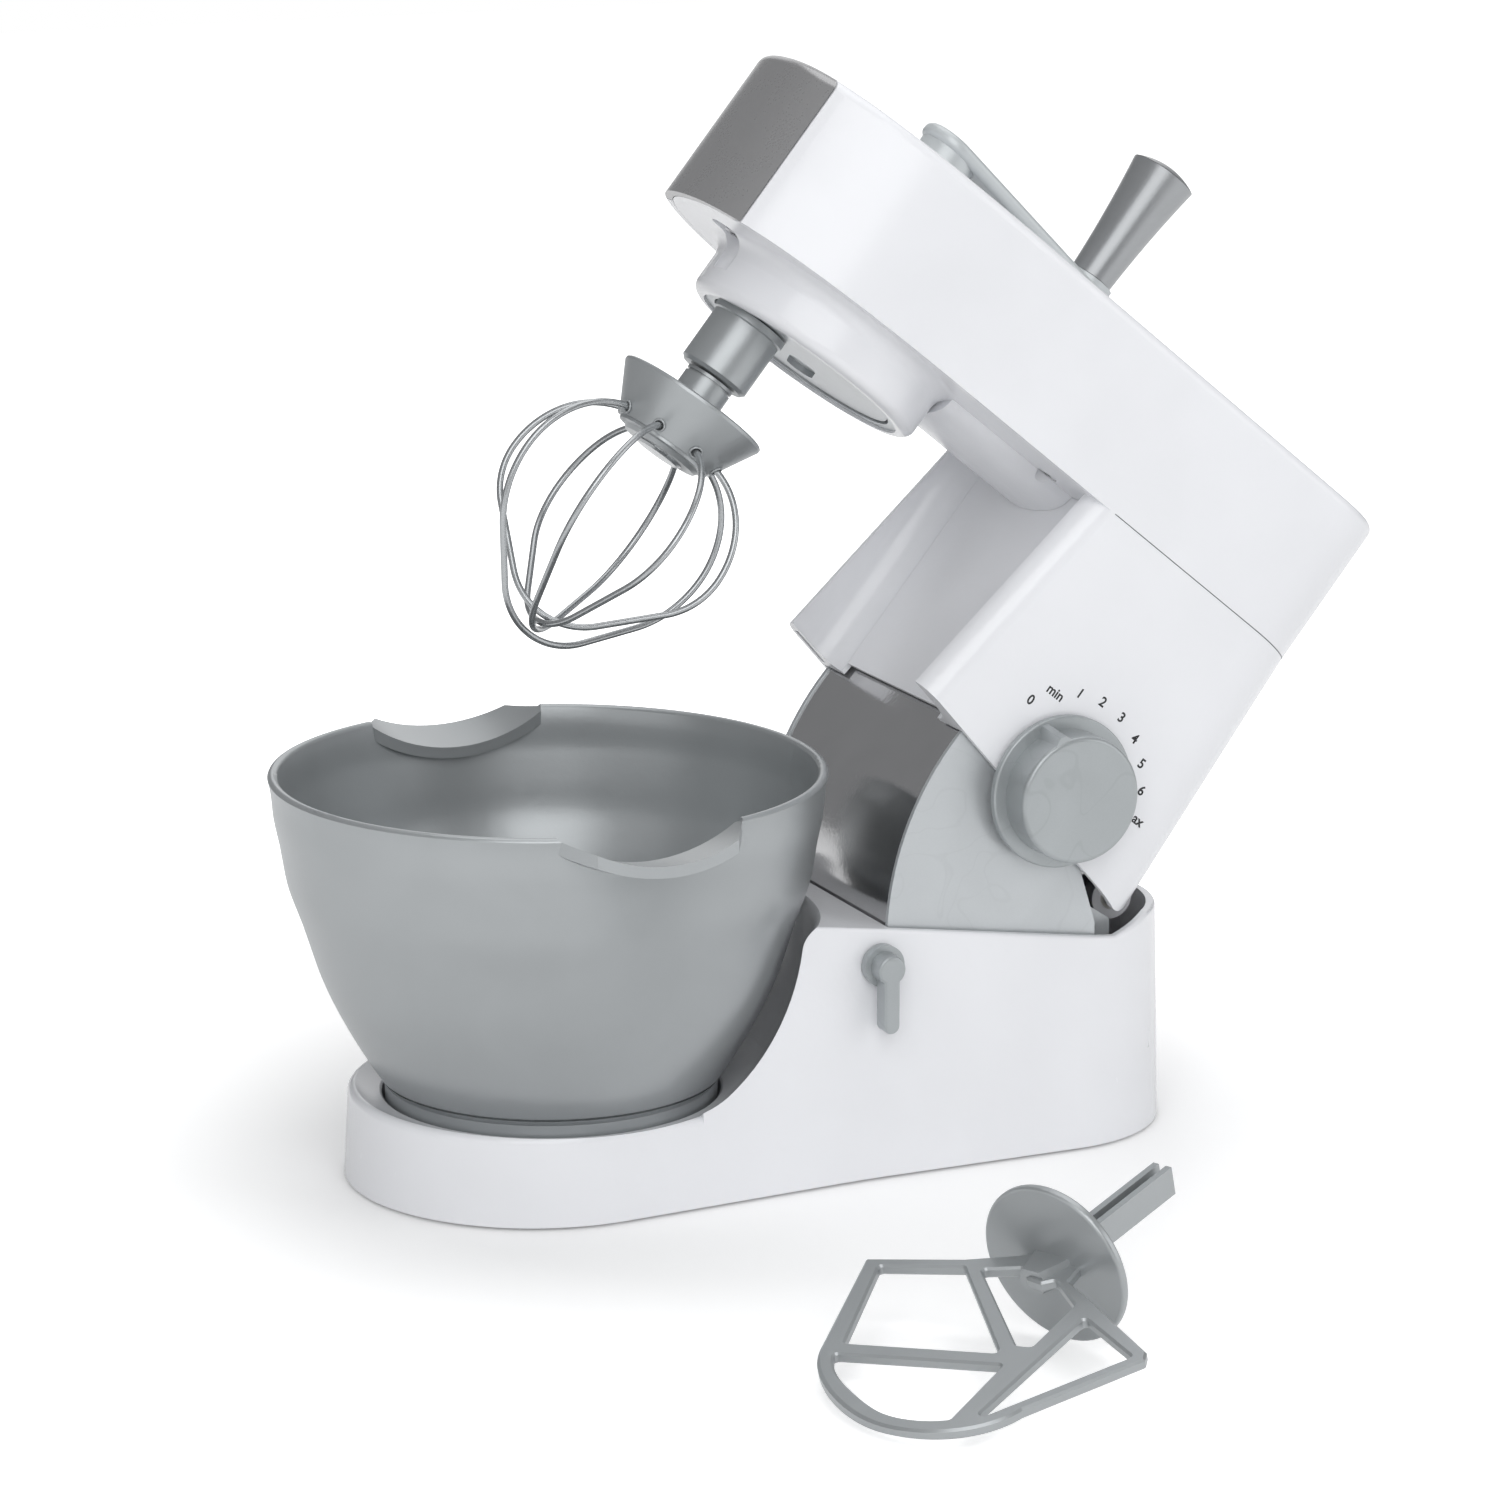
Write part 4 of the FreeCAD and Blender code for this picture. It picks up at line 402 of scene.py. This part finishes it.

# %% Painted shade line between cover and pillar
# Painted shade: this dark bead stands for the shadow in the gap where the cover meets the pillar.
SEAM_FRONT, SEAM_REAR, SEAM_SIDE, SEAM_CORNER, SEAM_Z = 17.0, 98.9, 47.7, 23.0, 149.5
BEND = 24
seam = Recipe("painted_gap_shade", Corner_Points=BEND, Length=(SEAM_REAR - SEAM_FRONT) * MM,
              Side=SEAM_SIDE * MM, Corner=SEAM_CORNER * MM, Tall=0.26 * MM, Proud=0.05 * MM)
place = seam.node("GeometryNodeInputIndex", {}, {})
bend, corner = seam.input("Corner_Points"), seam.input("Corner")
turn = place.ramp(1, bend + 1, -math.pi / 2, 0) + place.ramp(bend + 2, bend * 2 + 2, 0, math.pi / 2)
inner = seam.input("Side") - corner
leaving, returning = place.ramp(0, 1, 0, 1), place.ramp(bend * 2 + 2, bend * 2 + 3, 1, 0)
middle_x = (seam.input("Length") - corner) * leaving * returning
middle_y = inner * place.ramp(bend + 1, bend + 2, -1, 1)
dots = seam.node("GeometryNodePoints", {}, {"Count": bend * 2 + 4, "Position": seam.vector(
    middle_x + corner * turn.math("COSINE", turn), middle_y + corner * turn.math("SINE", turn), 0.0)})
path = seam.node("GeometryNodePointsToCurves", {}, {"Points": dots})
flat = seam.node("GeometryNodeCurvePrimitiveQuadrilateral", {}, {"Width": seam.input("Proud"),
                                                                  "Height": seam.input("Tall")})
sweep = seam.node("GeometryNodeCurveToMesh", {}, {"Curve": path, "Profile Curve": flat, "Fill Caps": True})
# The dark finish on this bead paints the shade of the gap.
seam.finish(sweep, dark)
SEAM_PLACE = Matrix.Translation(Vector((SEAM_FRONT, 0.0, SEAM_Z)) * MM)
seam.run("painted_gap_shade", raised() @ SEAM_PLACE, "head", "dark_grey")

# %% [markdown]
# The stage is as plain as a catalogue's: a pale floor that keeps the shadow, white all round,
# and five soft lamps at a level at which a colour renders about as it is written. The white of
# the background comes from what the camera sees in the floor and the world, never from more
# light: the floor glows for the camera alone, and least close to the mixer, where its shadow is.

# %% Stage
ground = bpy.data.meshes.new("floor")
HALF_FLOOR = 3.0
corners = [(x * HALF_FLOOR, y * HALF_FLOOR, 0) for x, y in ((-1, -1), (1, -1), (1, 1), (-1, 1))]
ground.from_pydata(corners, [], [(0, 1, 2, 3)])
floor = bpy.data.objects.new("floor", ground)
bpy.context.scene.collection.objects.link(floor)
floor_paint = Finish("floor_paint", Roughness=0.85, Emission_Strength=1.0)
away = floor_paint.node("ShaderNodeVectorMath", {"operation": "LENGTH"}, {0: floor_paint.place}, "Value")
rays = floor_paint.node("ShaderNodeLightPath", {}, {}, "Is Camera Ray")
glance = floor_paint.node("ShaderNodeLightPath", {}, {}, "Is Glossy Ray")
SHADOW_NEAR, SHADOW_FAR, GLOW_NEAR, MIRRORED_GLOW = 0.12, 0.38, 0.13, 0.35
glow = (rays + glance * MIRRORED_GLOW) * away.ramp(SHADOW_NEAR, SHADOW_FAR, GLOW_NEAR, 1.0)
grain = floor_paint.noise(0.15, 2.0)
floor_paint.feed(Base_Color=floor_paint.tint(grain, (0.95, 0.95, 0.95), (0.97, 0.97, 0.97)),
                 Emission_Color=floor_paint.tint(glow, (0.0, 0.0, 0.0), (1.0, 1.0, 1.0)))
ground.materials.append(floor_paint.material)

world = bpy.data.worlds.new("studio")
bpy.context.scene.world = world
world.use_nodes = True
tree = world.node_tree
sky = tree.nodes["Background"]
sky.inputs["Color"].default_value = (0.97, 0.98, 1.0, 1)
sky.inputs["Strength"].default_value = 0.28
seen = tree.nodes.new("ShaderNodeBackground")
seen.inputs["Color"].default_value = (1, 1, 1, 1)
seen.inputs["Strength"].default_value = 1.0
seen_by = tree.nodes.new("ShaderNodeLightPath")
swap = tree.nodes.new("ShaderNodeMixShader")
tree.links.new(seen_by.outputs["Is Camera Ray"], swap.inputs[0])
tree.links.new(sky.outputs[0], swap.inputs[1])
tree.links.new(seen.outputs[0], swap.inputs[2])
tree.links.new(swap.outputs[0], tree.nodes["World Output"].inputs[0])


def lamp(name, place, aim, size, power):
    """Square soft box at a place, pointing at its aim."""
    light = bpy.data.lights.new(name, "AREA")
    light.size = size
    light.energy = power
    holder = bpy.data.objects.new(name, light)
    bpy.context.scene.collection.objects.link(holder)
    holder.location = place
    holder.rotation_euler = (Vector(aim) - Vector(place)).to_track_quat("-Z", "Y").to_euler()


CENTRE = (0.0, -0.03, 0.12)
LAMPS = {
    "key": ((-0.50, -1.20, 0.95), 1.2, 10.2),
    "top": ((0.15, 0.1, 1.3), 1.2, 6.6),
    "fill": ((1.1, -0.9, 0.5), 0.9, 3.6),
    "low": ((-1.30, -0.60, 0.30), 0.9, 2.0),
    "back": ((0.60, 1.20, 0.70), 1.0, 2.6),
}
for name, (place, size, power) in LAMPS.items():
    lamp(name, place, CENTRE, size, power)
print("stage set")

# %% [markdown]
# The camera stands where the photographer stood, front left and a little above, far back with
# a long lens, so that the mixer's lines stay nearly parallel.

# %% Camera
AZIMUTH, ELEVATION = math.radians(-24.20), math.radians(13.90)
DISTANCE, LENS, SENSOR = 1464.0 * MM, 124.2, 36.0
target = Vector((-1.54, 0.0, 115.22)) * MM
back = Vector((math.sin(AZIMUTH) * math.cos(ELEVATION), -math.cos(AZIMUTH) * math.cos(ELEVATION),
               math.sin(ELEVATION)))
lens = bpy.data.cameras.new("camera")
lens.lens = LENS
lens.sensor_width = SENSOR
lens.clip_start, lens.clip_end = 0.05, 20.0
camera = bpy.data.objects.new("camera", lens)
bpy.context.scene.collection.objects.link(camera)
camera.location = target + back * DISTANCE
camera.rotation_euler = back.to_track_quat("Z", "Y").to_euler()
bpy.context.scene.camera = camera
bpy.context.scene.view_settings.view_transform = "Standard"
print("camera at", tuple(round(v, 3) for v in camera.location))
